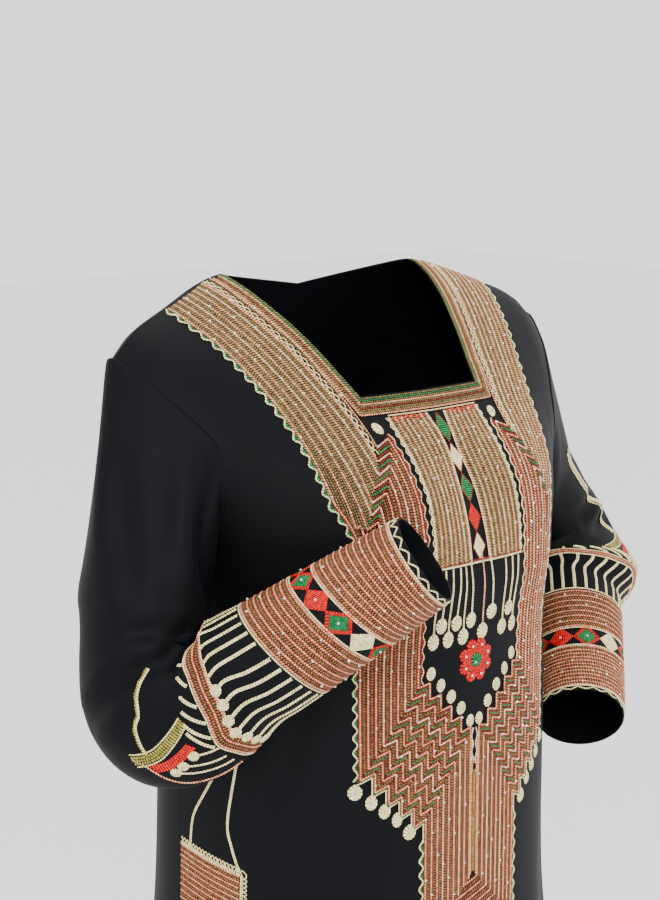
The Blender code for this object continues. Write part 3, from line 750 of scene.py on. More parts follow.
def line_on(surface, places, step=1.1):
    """Points and normals evenly along a line given by its places on a surface."""
    places = np.asarray(places, float)
    points, _ = surface(places[:, 0], places[:, 1])
    even = resampled(places, points, step)
    return surface(even[:, 0], even[:, 1])


# The dress.

def refined(values, times):
    return np.concatenate([np.linspace(a, b, times, endpoint=False)
                           for a, b in zip(values[:-1], values[1:])] + [values[-1:]])


CUTS = [0.0, 0.2, 0.5, 0.83, 1.0, 1.33, 1.67, 2.0, 2.15, 2.3, 2.45, 2.6, 2.8, 3.0]
COLUMNS = refined(np.array([-u for u in CUTS[:0:-1]] + CUTS), 3)
FINE_ROWS = [3] * 8 + [6, 8]


def fine_places(rows):
    parts = [i + np.arange(row.cells * n) / (row.cells * n)
             for i, (row, n) in enumerate(zip(rows, FINE_ROWS))]
    return np.concatenate(parts + [[len(rows) - 1.0]])


def panel_shell(name, rows, side):
    places = fine_places(rows)
    points = panel(rows, side, COLUMNS[None, :], places[:, None])
    normal = unit(np.cross(np.gradient(points, axis=1), np.gradient(points, axis=0)))
    if np.sum(normal[..., 1] * side) < 0:
        normal = -normal
    keep = np.ones((len(places) - 1, len(COLUMNS) - 1), bool)
    if side < 0:
        middle = np.abs(COLUMNS[1:] + COLUMNS[:-1]) / 2 < 1
        keep[np.ix_(places[:-1] < 0.999, middle)] = False
    return name, points, normal, keep


def body_shells():
    """Front and back, creased, each drawn back by half the seam where they are sewn."""
    pieces = [panel_shell("front_cloth", FRONT_ROWS, -1), panel_shell("back_cloth", BACK_ROWS, 1)]
    front_n, back_n = pieces[0][2], pieces[1][2]
    joined = fine_places(FRONT_ROWS) > 3.999    # the side seams, below the armholes
    for edge in (0, -1):
        shared = unit(front_n[joined, edge] + back_n[joined, edge])
        front_n[joined, edge] = shared
        back_n[joined, edge] = shared
    made = []
    for name, points, normal, keep in pieces:
        fade = np.clip(np.arange(len(points)) / 6, 0, 1)[:, None]
        # Beside an armhole the creases die out, so that the sleeve meets the panel's edge.
        below = np.clip((UNDERARM_Z - points[:, :1, 2]) / 30, 0, 1)
        inside = np.clip((COLUMNS[-1] - np.abs(COLUMNS)) / 0.4, 0, 1)[None, :]
        height = crease_height(points, BODY_CREASES) * fade * np.maximum(below, inside)
        points = points + normal * height[..., None]
        seamed = np.abs(COLUMNS) > 0.999
        moved = points.copy()
        moved[0][seamed] += (unit(points[1] - points[0]) * SEAM / 2)[seamed]
        moved[:, 0] += unit(points[:, 1] - points[:, 0]) * SEAM / 2
        moved[:, -1] += unit(points[:, -2] - points[:, -1]) * SEAM / 2
        made.append(shell(name, moved, normal, keep, CLOTH, CREPE))
    return made


front_cloth, back_cloth = body_shells()
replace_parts(front_cloth, "front_panel")
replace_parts(back_cloth, "back_panel")

SLEEVES = {name: Sleeve(name) for name in ARMS}
# A sleeve's widest measure round, its length over the elbow and its flat area.
SLEEVE_CUTS = {"right": (0.433, 0.577, 0.1165), "left": (0.433, 0.527, 0.1233)}
ALLOWANCE = 2.0        # of the sleeve's cloth, under the panels' edges
for sleeve_name, sleeve in SLEEVES.items():
    outer = sleeve.grid[::2, ::2]
    out_n = sleeve.normal[::2, ::2]
    # The seam allowance runs on under the panels' edges.
    allowance = outer[0] + unit(outer[0] - outer[1]) * ALLOWANCE - out_n[0] * CLOTH * 0.4
    outer = np.concatenate([allowance[None], outer])
    out_n = np.concatenate([out_n[:1], out_n])
    keep = np.ones((outer.shape[0] - 1, outer.shape[1]), bool)
    cloth = shell("sleeve_cloth_" + sleeve_name, outer, out_n, keep, CLOTH, CREPE)
    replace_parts(cloth, "sleeve_" + sleeve_name)
    width, length, area = SLEEVE_CUTS[sleeve_name]


# The side bands: lines run from the shoulder, turn a corner at the chest, run down, step
# in to the middle and end at the foot. Line 0 is the innermost and line 8 the outermost.
LINES = 8
GROUP = ((0.0, "salmon", 1.4, 1.0), (0.25, "brick", 1.0, 0.65), (0.5, "olive", 1.6, 0.55),
         (0.75, "brick", 1.0, 0.65))
BLUSH_LINES = (2, 5)   # these lines are sewn in a paler thread
# Across the shoulder: x and z of lines 0, 1 and 8, from the seam down.
SHOULDER_STATIONS = [
    (113, -13, 123, -16, 163, -31),
    (107, -27, 116, -29, 157, -42),
    (99, -42, 108, -44, 149, -54),
    (90, -58, 99, -60, 139, -74),
    (82, -78, 90, -80, 129, -97),
    (72, -112, 78, -113, 121, -124),
]
LOWER_CORNERS = [(70, -130), (75, -139), (79, -148), (85, -156), (90, -166), (92, -175),
                 (96, -185), (103, -184), (114, -166)]
UPPER_CORNERS = [(57, -125), (62, -134), (67, -142), (72, -150), (78, -160), (85, -169),
                 (88, -180), (100, -182), (114, -166)]
STEPS = 5
STEP_X = 10.0
STEP_DROP = 10.6
LINE_PITCH = 5.35
INNER_X = 54.5         # of line 0 below the chest
STEP_TOP_Z = -311.0
STEP_TOP_SLOPE = 8.4   # how much lower each line's first step begins
FOOT_Z = -518.0
NOTCH_Z = -470.0
PARTS = ("shoulder", "corner", "down", "steps", "foot")
SIDES = {"right": -1, "left": 1}


def smooth(points, times=10):
    return finer(np.array(points, float), times, False)


def step_corners(k):
    """The corners of line k's steps: the upper and the lower end of each riser."""
    x = INNER_X + LINE_PITCH * k
    top = STEP_TOP_Z - STEP_TOP_SLOPE * k
    rise = 2.4 + 0.3 * k
    corners = []
    for n in range(STEPS):
        corners.append((x - STEP_X * (n + 1), top - STEP_DROP * n + rise))
        corners.append((x - STEP_X * (n + 1), top - STEP_DROP * (n + 1)))
    return corners


def band_parts(k):
    """Places (x, z) down line k of the left band, part by part."""
    lines = np.arange(LINES + 1)
    ahead = []
    for x0, z0, x1, z1, x8, z8 in SHOULDER_STATIONS:
        x = np.interp(k, [0, 1, LINES], [x0, x1, x8]) + min(k, 0) * 6 + max(k - LINES, 0) * 6
        ahead.append((x, np.interp(k, [0, 1, LINES], [z0, z1, z8])))

    def corner(table):
        spots = np.array(table, float)
        spot = np.array([np.interp(k, lines, spots[:, 0]), np.interp(k, lines, spots[:, 1])])
        if k < 0:
            spot += (spots[0] - spots[1]) * -k
        if k > LINES:
            spot[0] += 5 * (k - LINES)
        return tuple(spot)

    low, high = corner(LOWER_CORNERS), corner(UPPER_CORNERS)
    x = INNER_X + LINE_PITCH * k
    top = STEP_TOP_Z - STEP_TOP_SLOPE * k
    down = smooth([high, (high[0] - (high[0] - x) * 0.62, high[1] - 24),
                   (x, -214 - 1.5 * k), (x, -262), (x, top)])
    corners = step_corners(k)
    foot = max(FOOT_Z, NOTCH_Z - max(corners[-1][0], 0))
    return {"shoulder": smooth(ahead + [low]), "corner": dense([low, high], 6), "down": down,
            "steps": dense([down[-1]] + corners, 6),
            "foot": dense([corners[-1], (corners[-1][0], foot)], 24)}


def band_line(k, side, parts=PARTS):
    """Line k of a side's band, over the parts named."""
    chosen = [band_parts(k)[name] for name in parts]
    joined = np.concatenate([chosen[0]] + [part[1:] for part in chosen[1:]])
    return joined * [side, 1]


ROWS = {colour: Rows(colour + "_stitches", colour) for colour in THREADS if colour != "ground"}


def row(colour, line, width, height, lift=0.45):
    ROWS[colour].add(line, width, height, lift)


def sewn(colour, places, width, height, lift=0.45):
    """A row of stitches along a line of places on the front."""
    row(colour, line_on(front_at, places), width, height, lift)


def level(half, z):
    """Places for a level line across the middle of the front."""
    return [(-half, z), (half, z)]


def wavy(surface, places, base, depth, length, phase=0.0):
    """A line on a surface that swings sideways, and its normals: base and depth in mm."""
    places = np.asarray(places, float)
    points, _ = surface(places[:, 0], places[:, 1])
    even = resampled(places, points, 1.0)
    points, normal = surface(even[:, 0], even[:, 1])
    across = unit(np.cross(normal, unit(np.gradient(points, axis=0))))
    shift = base + depth * np.cos(2 * np.pi * run_of(points) / length + phase)
    return points + across * shift[:, None], normal


SCALLOP = 11.5         # length of one scallop
GROUND = 0.3           # wall of the dark ground under the rows


def scallops(places, side):
    """A wavy cream cord outside an edge, with green stitches inside its humps."""
    row("green", wavy(front_at, places, side * 1.9, side * 1.1, SCALLOP, np.pi), 1.9, 0.6, 0.2)
    row("cream", wavy(front_at, places, side * 3.1, side * 1.7, SCALLOP, np.pi), 1.35, 1.1, 0.2)


def ground_sheet(name, sheet, lift, node_name, surface=front_at, around=False):
    """The dark closed stitching under the rows, over a sheet of places. Its near-black colour is
    also painted shade, for the gaps between the rows.
    """
    points, normal = surface(sheet[..., 0], sheet[..., 1])
    keep = np.ones((sheet.shape[0] - 1, sheet.shape[1] - (not around)), bool)
    piece = shell(name, points + normal * lift, normal, keep, GROUND, THREADS["ground"])
    if node_name:
        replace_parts(piece, node_name)


def side_band(name, side):
    ks = np.linspace(-0.25, LINES + 0.4, 27)
    ground_sheet("band_ground_" + name, np.array([band_line(k, side) for k in ks]), 0.45,
                 "side_band_" + name)
    for k in range(LINES + 1):
        for offset, colour, width, height in GROUP:
            if k + offset > LINES + 0.3:
                continue
            if colour == "salmon" and k in BLUSH_LINES:
                colour = "blush"
            if colour != "brick":
                parts = PARTS[1:] if k == 0 and offset else PARTS
                sewn(colour, band_line(k + offset, side, parts), width, height)
                continue
            sewn("brick", band_line(k + offset, side, PARTS[1:]), width, height)
            if k:
                sewn("tan", band_line(k + offset, side, PARTS[:1]), width, height)
    # Green stitches on the treads and on the corners at the chest.
    for k in range(LINES + 1):
        low, high = band_parts(k + 0.5)["corner"][[0, -1]] * [side, 1]
        if np.hypot(*(low - high)) > 6:
            sewn("green", dense([low, high], 4), 1.5, 0.75, 0.6)
        corners = [(INNER_X + LINE_PITCH * (k + 0.45), STEP_TOP_Z - STEP_TOP_SLOPE * (k + 0.45))]
        corners += step_corners(k + 0.45)
        for n in range(0, 2 * STEPS, 2):
            tread = np.array(corners[n:n + 2]) * [side, 1]
            if (n // 2 + k) % 3 != 2 and k < LINES:
                sewn("green", dense(tread, 4), 1.4, 0.75, 0.6)
    # The chain of lozenges between lines 0 and 1.
    chain = band_line(0.52, side, ("shoulder",))
    row("cream", wavy(front_at, chain, side * 0.7, 1.7, 15.0), 0.9, 0.9, 0.5)
    row("cream", wavy(front_at, chain, side * 0.7, 1.7, 15.0, np.pi), 0.9, 0.9, 0.5)
    row("salmon", wavy(front_at, chain, side * 3.3, 0.4, 15.0), 1.0, 0.9, 0.5)
    row("olive", wavy(front_at, chain, side * -2.6, 0.3, 15.0), 1.2, 0.7, 0.5)
    # The edges.
    scallops(band_line(LINES + 0.1, side, ("shoulder", "corner", "down")), side)
    scallops(band_line(LINES + 0.1, side, ("foot",)), side)
    sewn("cream", band_line(LINES + 0.4, side, ("steps",)), 1.2, 1.0)
    sewn("green", band_line(LINES + 0.2, side, ("steps",)), 1.2, 0.8)
    inner = band_line(-0.3, side, ("down",))
    sewn("brick", inner, 1.6, 0.8, 0.2)
    row("brick", wavy(front_at, inner, -side * 1.2, side * 0.7, SCALLOP), 1.6, 0.7, 0.1)
    row("cream", wavy(front_at, inner, -side * 1.9, side * 1.0, SCALLOP), 1.0, 0.9, 0.2)


for side_name, side in SIDES.items():
    side_band(side_name, side)


# The wedge at the foot, where the left band's lines turn in under the right band's.
WEDGE_SLOPE = 0.32
WEDGE_HALF = 47.0
wedge_x = np.linspace(-WEDGE_HALF, WEDGE_HALF, 41)
wedge_top = NOTCH_Z - np.abs(wedge_x)
wedge_z = wedge_top + (FOOT_Z - wedge_top) * np.linspace(0, 1, 9)[:, None]
ground_sheet("wedge_ground", np.stack([wedge_x + 0 * wedge_z, wedge_z], axis=-1), 0.4, None)
for k in range(LINES + 1):
    for offset, colour, width, height in GROUP:
        x = INNER_X - STEPS * STEP_X + LINE_PITCH * (k + offset)
        if x > WEDGE_HALF:
            continue
        z = NOTCH_Z - x
        span = min(2 * x / (1 - WEDGE_SLOPE), (z - FOOT_Z) / WEDGE_SLOPE)
        if span > 3:
            sewn(colour, [(x, z), (x - span, z - WEDGE_SLOPE * span)], width, height)
sewn("salmon", level(WEDGE_HALF + 1, FOOT_Z - 0.6), 1.4, 1.0)
sewn("brick", level(WEDGE_HALF + 1, FOOT_Z + 1), 1.4, 0.8, 0.6)

# The middle line: two wavy cords that meet, then a narrow braid down to the wedge.
for way in (-1, 1):
    row("cream", wavy(front_at, [(way * 2.5, -352), (way * 1.5, -388)], 0, 0.9, 13.0,
                      np.pi * (way > 0)), 1.0, 0.9, 0.2)
    sewn("gold", [(way * 0.7, -386), (way * 0.6, -469)], 1.2, 1.0, 0.3)
    sewn("brick", [(way * 1.9, -376), (way * 1.8, -470)], 1.2, 0.8, 0.3)
    sewn("salmon", [(way * 3.1, -362), (way * 3.0, -472)], 1.2, 0.9, 0.4)

# Neck binding, round the opening.
NECK_EDGE = [(105, 1), (100, -10.5), (95, -21), (88, -35), (80, -50), (71, -71), (61, -97)]
BINDING = ((0.8, "olive", 1.3, 0.9), (2.1, "green", 1.1, 0.7), (3.4, "olive", 1.2, 0.8),
           (4.7, "salmon", 1.2, 1.0), (6.0, "olive", 1.5, 0.7), (7.3, "brick", 1.0, 0.6),
           (8.7, "olive", 1.6, 0.7), (10.1, "tan", 1.4, 0.8), (11.6, "salmon", 1.3, 1.0))


def spread(line, count):
    """Places at even steps along a line, counted by its own points."""
    at = np.linspace(0, 1, count) * (len(line) - 1)
    return np.stack([np.interp(at, np.arange(len(line)), line[:, i]) for i in range(2)], axis=1)


def binding_line(offset):
    """A line round the neck opening, a distance out from its edge, right side to left."""
    edge = smooth(NECK_EDGE)
    direction = unit(np.gradient(edge, axis=0))
    outward = np.stack([-direction[:, 1], direction[:, 0]], axis=1)
    moved = edge + outward * offset
    foot_z = NECK_EDGE[-1][1] - offset
    moved = np.concatenate([moved, moved[-1:] + direction[-1:] * 30])
    down = spread(moved, 81)
    corner_x = np.interp(-foot_z, -down[:, 1], down[:, 0])
    down = down[(down[:, 1] > foot_z) & (down[:, 1] < ridge_z_at(down[:, 0]) - 0.6)]
    share = np.linspace(0, 1, 48)[:, None]
    across = np.array([[corner_x, foot_z]]) * (1 - share) + np.array([[0.0, foot_z]]) * share
    half = np.concatenate([spread(down, 48), across])
    return np.concatenate([half * [-1, 1], half[-2::-1]])


ground_sheet("neck_ground", np.array([binding_line(o) for o in np.linspace(0.3, 12.6, 6)]), 0.4,
             "neck_band")
for offset, colour, width, height in BINDING:
    sewn(colour, binding_line(offset), width, height)
sewn("cream", level(46, -110.6), 1.1, 0.9)

# Chest columns.
COLUMN_LINES = 8
COLUMN_EDGES = [(-112, 10.5, 45.5), (-125, 8, 45), (-140, 7, 44.5), (-162, 9, 44.2),
                (-190, 10, 44.2), (-219, 11, 44.2)]


def column_line(share, side):
    """Places down a chest column: share 0 is its inner edge and 1 its outer edge."""
    return smooth([(side * (inner + (outer - inner) * share), z)
                   for z, inner, outer in COLUMN_EDGES])


for side_name, side in SIDES.items():
    ground_sheet("column_ground_" + side_name,
                 np.array([column_line(s, side) for s in np.linspace(-0.01, 1.01, 14)]), 0.4,
                 "chest_column_" + side_name)
    for k in range(COLUMN_LINES):
        for offset, colour, width, height in GROUP:
            share = (k + offset) / (COLUMN_LINES - 1)
            if share <= 1.0:
                colour = {"brick": "tan", "salmon": "blush" if k % 3 == 1 else "salmon"}.get(
                    colour, colour)
                sewn(colour, column_line(share, side), width * 0.9, height, 0.4)
    row("red", wavy(front_at, [(side * 13, -113.0), (side * 44, -113.0)], 0, 2.1, 6.2), 1.5,
        1.0, 0.6)
    sewn("cream", column_line(-0.04, side), 1.2, 1.0, 0.3)
    sewn("cream", column_line(1.03, side), 1.1, 1.0, 0.3)
    row("cream", wavy(front_at, column_line(1.03, side), side * 1.1, side * 0.9, 8.0), 0.9, 0.8,
        0.2)
sewn("cream", level(47, -220.2), 1.5, 1.0, 0.3)
sewn("brick", level(47, -218.4), 1.5, 0.9, 0.4)

# Hanging cords: x at the top and at the coin, the height of the coin's middle, its width.
PENDANTS = [(-43, -42.5, -277, 10), (-36, -36, -265, 10), (-29, -29, -277, 10),
            (-21.5, -21.8, -265, 10), (-16, -14.3, -277, 10.5), (-11, -7, -265, 10),
            (2, 6, -276, 11.5), (10, 15.2, -262, 11.5), (27, 29, -277, 10.5),
            (35, 36, -263, 10), (42.5, 42, -277, 9)]
PENDANT_LONG = 13.4
coins = []
for top_x, x, z, width in PENDANTS:
    start = -221.5 if abs(top_x) > 12 else -212.0
    path = [(top_x, start), (x, z + PENDANT_LONG / 2 - 0.8)]
    sewn("salmon" if x == 6 else "cream", path, 1.5, 1.0, 0.15)
    coins.append((x, z, 0.0, width, PENDANT_LONG))
# Coins on the corners: x, z, the lean away from upright in degrees, width and length.
CORNER_COINS = [
    (43.5, -302, 172, 8, 11), (34.5, -312.5, 172, 8, 11), (24.5, -323, 174, 9, 11),
    (14.5, -334, 174, 9, 11), (4.8, -346, 176, 8, 10.5),
    (101, -387.5, 0, 11.5, 12.5), (90, -396.5, 0, 9.5, 12), (80.5, -404.5, 0, 9.5, 12),
    (71, -412.5, 0, 8.5, 12), (61, -424, 0, 11, 12.5),
    (60.5, -118, -150, 8, 11.5),
]
for x, z, lean, width, length in CORNER_COINS:
    for side in (-1, 1):
        coins.append((side * x, z, side * lean, width, length))

# Rosette: petals round a green middle.
ROSETTE_Z = -298.0
ROSETTE_REACH = 18.0
PETALS = 8
PETAL_RADIUS = 10.8
PETAL_STONE_RADIUS = 12.6


def round_outline(centre, reach, across, turn, count=22):
    """Points of an oval on the front: reach along its turned length, across its width."""
    angle = np.arange(count) * 2 * np.pi / count
    a, b = reach * np.cos(angle), across * np.sin(angle)
    x = centre[0] + a * np.cos(turn) - b * np.sin(turn)
    z = centre[1] + a * np.sin(turn) + b * np.cos(turn)
    return front_at(x, z)[0]


stones = []
rose = Rows("rosette_petals", "red")
for petal in range(PETALS):
    turn = (petal + 0.5) * 2 * np.pi / PETALS
    centre = (PETAL_RADIUS * np.cos(turn), ROSETTE_Z + PETAL_RADIUS * np.sin(turn))
    middle, normal = front_at(*centre)
    rose.patch(middle, normal, round_outline(centre, 6.9, 5.7, turn), 1.0, 0.3)
    stones.append((PETAL_STONE_RADIUS * np.cos(turn),
                   ROSETTE_Z + PETAL_STONE_RADIUS * np.sin(turn), 2.1))
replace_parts(rose.finish(), "rosette")
middle, normal = front_at(0.0, ROSETTE_Z)
ROWS["green"].patch(middle, normal, round_outline((0, ROSETTE_Z), 5.6, 5.6, 0), 0.9, 0.9)
stones.append((-1.5, ROSETTE_Z - 1.5, 2.0))


# Diamonds of satin stitch, its threads laid across.
def satin(made, surface, centre, half, lift):
    """Add a diamond on a surface to some rows: half is its half width and half height."""
    threads, columns = 30, 9
    t = np.linspace(-1, 1, threads)[:, None]
    s = np.linspace(-1, 1, columns)[None, :]
    wide = np.maximum(1 - np.abs(t), 0.03)
    x = centre[0] + half[0] * wide * s
    z = centre[1] + half[1] * t + 0 * s
    points, normal = surface(x, z)
    rise = lift + 0.7 * np.sqrt(np.clip(1 - s**4, 0, 1)) * np.minimum(1, wide * 3)
    rise = rise + 0.12 * np.cos(np.arange(threads) * np.pi)[:, None] * (np.abs(s) < 0.99)
    grid = points + normal * rise[..., None]
    v = np.arange(threads)[:, None] / 2.0 + 0 * s
    made.gather(grid.reshape(-1, 3), grid_faces(threads, columns),
                np.stack([0.5 + 0 * v, v], axis=-1).reshape(-1, 2))


DIAMOND_HALF = (6.0, 10.2)
DIAMOND_TOP = -123.0
DIAMOND_STEP = 21.4
for i, colour in enumerate(["green", "cream", "green", "red", "cream"]):
    z = DIAMOND_TOP - i * DIAMOND_STEP
    made = Rows(f"satin_diamond_{i + 1}", colour)
    satin(made, front_at, (0, z), DIAMOND_HALF, 0.35)
    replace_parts(made.finish(), f"diamond_{i + 1}")
    loop = [(0, 1.04), (1.08, 0), (0, -1.04), (-1.08, 0), (0, 1.04)]
    outline = [(a * DIAMOND_HALF[0], z + b * DIAMOND_HALF[1]) for a, b in loop]
    sewn("brick", dense(outline, 5), 0.9, 0.7, 0.3)


# Hip patches: rows across, with a looped cream edge and two cords above.
PATCH_HEAD, PATCH_FOOT, PATCH_INNER = 7.0, 8.0, 2.6
PATCH_STRIPES = 16


def hip_at(side):
    def at(u, place):
        u, place = np.broadcast_arrays(np.asarray(u, float), np.asarray(place, float))
        step = 0.002
        point = panel(FRONT_ROWS, -1, side * u, place)
        a = panel(FRONT_ROWS, -1, side * (u - step), place) - point
        b = panel(FRONT_ROWS, -1, side * u, place - step) - point
        normal = unit(np.cross(a, b))
        outward = np.stack([0 * u + side, -0.6 + 0 * u, 0 * u], axis=-1)
        normal = normal * np.sign(np.sum(normal * outward, axis=-1, keepdims=True))
        return point + normal * crease_height(point, BODY_CREASES)[..., None], normal
    return at


HIP_CORDS = [[(2.74, 5.75), (2.9, 6.45), (2.93, 6.98)],
             [(2.64, 5.7), (2.69, 6.44), (2.66, 6.75), (2.61, 6.98)]]
for side_name, side in SIDES.items():
    surface = hip_at(side)
    sheet = np.stack(np.meshgrid(np.linspace(PATCH_INNER, 2.995, 22),
                                 np.linspace(PATCH_HEAD, PATCH_FOOT, 24)), -1)
    ground_sheet("hip_ground_" + side_name, sheet, 0.4, "hip_patch_" + side_name, surface)
    for k in range(PATCH_STRIPES):
        for offset, colour, width, height in GROUP:
            place = PATCH_HEAD + 0.02 + (k + offset) / PATCH_STRIPES
            if place < PATCH_FOOT:
                row(colour, line_on(surface, [(PATCH_INNER + 0.01, place), (2.99, place)]),
                    width, height, 0.4)
    edge = [(2.99, PATCH_HEAD), (PATCH_INNER, PATCH_HEAD), (PATCH_INNER, PATCH_FOOT)]
    row("cream", line_on(surface, dense(edge, 30)), 1.4, 1.1, 0.4)
    row("cream", wavy(surface, dense(edge, 30), side * -2.9, 2.1, 7.0), 1.1, 1.0, 0.2)
    row("cream", wavy(surface, dense(edge, 30), side * -2.9, 2.1, 7.0, np.pi), 1.1, 1.0, 0.2)
    for cord in HIP_CORDS:
        row("cream", line_on(surface, smooth(cord)), 2.3, 1.3, 0.2)

# The sleeves' bands, counted in millimetres up from the cuff.
WRIST = (9.5, 69.0)
FOREARM = (91.0, 129.0)
STRIPE = 5.6
AROUND = 20            # places round a sleeve
TURNS = np.linspace(0, AROUND, 8 * AROUND + 1)
PLACE_LENGTH = 12.3    # between two places, at the diamonds
DIAMONDS_ROUND = 11
DIAMOND_STATION = 80.0
SLEEVE_COLOURS = ["red", "green", "cream", "green"]
FIRST_DIAMOND = {"right": 3.25, "left": 7.6}
MOTIF_TURN = {"right": -0.3, "left": 2.4}
CORDS_ROUND = 26


def ring_line(sleeve, station):
    ring = sleeve.ring(np.full(len(TURNS), station))
    return line_on(sleeve.at, np.stack([ring, TURNS], axis=1))


def sleeve_band(name, sleeve, span, node_name):
    rings = sleeve.ring(np.linspace(span[0] - 1.0, span[1] + 1.0, 12))
    sheet = np.stack(np.meshgrid(rings, TURNS[:-1], indexing="ij"), -1)
    ground_sheet(f"{node_name}_ground_{name}", sheet, 0.4, f"{node_name}_{name}", sleeve.at, True)
    count = int(round((span[1] - span[0]) / STRIPE))
    pitch = (span[1] - span[0]) / count
    for k in range(count + 1):
        for offset, colour, width, height in GROUP:
            station = span[0] + (k + offset) * pitch
            if station <= span[1] + 0.1:
                row(colour, ring_line(sleeve, station), width, height, 0.4)
    for station in (span[0] - 1.8, span[1] + 1.8):
        row("cream", ring_line(sleeve, station), 1.3, 1.0, 0.3)


def wound(table, turns):
    """A ring number for each place round a sleeve, from a table that closes on itself."""
    places = [turn for turn, _ in table]
    rings = [ring for _, ring in table]
    places = places + [places[0] + AROUND]
    rings = rings + rings[:1]
    return along(places, rings, places[0] + (np.asarray(turns, float) - places[0]) % AROUND)


# The elbow band's first line, towards the shoulder: places round the sleeve from the motif's
# middle, and rings.
ELBOW_BAND = [(-2.25, 16.0), (-0.85, 15.8), (0.5, 15.45), (1.6, 15.4), (2.6, 15.1),
              (3.7, 14.5), (5.2, 12.9), (6.8, 12.9), (9.5, 14.75), (12, 15.65), (15, 16.0)]
ELBOW_LINES = 3
ELBOW_PITCH = 6.0      # mm
ELBOW_EDGES = (-0.3, ELBOW_LINES - 0.75)
BAND_LIMIT = 17.0      # the ring that the elbow band never reaches
COIN_GAP = 3.0
FIRST_CORD = -2.95
CORD_FEET = 18.85      # the ring where the cords meet the forearm band
# Cords between these places run into the crook of the elbow and bear no coins. The crook's
# fold takes in the band: this share of its width is left.
CREASED = {"right": (3.0, 7.6), "left": (-1.5, 9.0)}
TAKEN_IN = {"right": 1.0, "left": 0.35}
# Cords above the elbow band: each end's ring and place from the motif's middle.
SHORT_CORDS = [((15.3, 0.3), (14.4, 1.55)), ((15.3, 0.8), (14.25, 1.95)),
               ((15.25, 1.55), (14.12, 2.45)), ((14.95, 2.4), (13.88, 3.05)),
               ((14.3, 3.4), (13.25, 3.8)), ((13.3, 4.3), (12.6, 4.3))]
BRAID = [(12.6, 0.05), (13.25, 0.68), (13.7, 1.38), (14.15, 2.1)]
BRAID_ROWS = ((-0.3, "cream", 1.2), (-0.1, "gold", 2.0), (0.1, "gold", 2.0), (0.3, "gold", 2.0),
              (0.5, "cream", 1.2))
RED_STRIP = [(13.3, -0.05), (13.8, 0.22), (14.55, 0.95)]
TIP_COINS = [((14.58, 0.42), (15.45, 0.1)), ((14.23, 0.05), (15.5, -0.6)),
             ((14.0, -0.25), (15.6, -1.25))]
HEM_CORD = [(12.6, 0.05), (13.2, -0.1), (14.4, -1.35), (15.65, -2.25)]
TIP_CORDS = {
    "right": [(13.0, 0.6), (12.3, 1.4), (12.1, 1.95), (11.3, 2.6), (10.7, 3.3)],
    "left": [(12.6, 0.35), (11.0, 0.35), (8.0, 0.45), (5.0, 0.8)],
}


def cuff_zigzag(sleeve):
    legs = 36
    corners = [(sleeve.ring(1.8 if n % 2 else 6.6), n * AROUND / legs) for n in range(legs + 1)]
    row("cream", line_on(sleeve.at, dense(corners, 6)), 1.1, 0.9, 0.2)


def diamond_row(name, sleeve):
    """Diamonds that touch round the sleeve, every second one framed."""
    for n in range(-1, DIAMONDS_ROUND - 1):
        turn = FIRST_DIAMOND[name] - n * AROUND / DIAMONDS_ROUND
        colour = SLEEVE_COLOURS[n % 4]

        def at(a, b, turn=turn):
            return sleeve.at(sleeve.ring(DIAMOND_STATION + a), turn + b / PLACE_LENGTH)

        half = 8.0 if n % 2 else 11.0
        satin(ROWS[colour], at, (0, 0), (half, half), 0.2)
        if n % 2:
            for reach in (9.0, 10.2, 11.2):
                loop = dense([(0, reach), (reach, 0), (0, -reach), (-reach, 0), (0, reach)], 5)
                row("red", line_on(at, loop), 1.2, 0.9, 0.2)


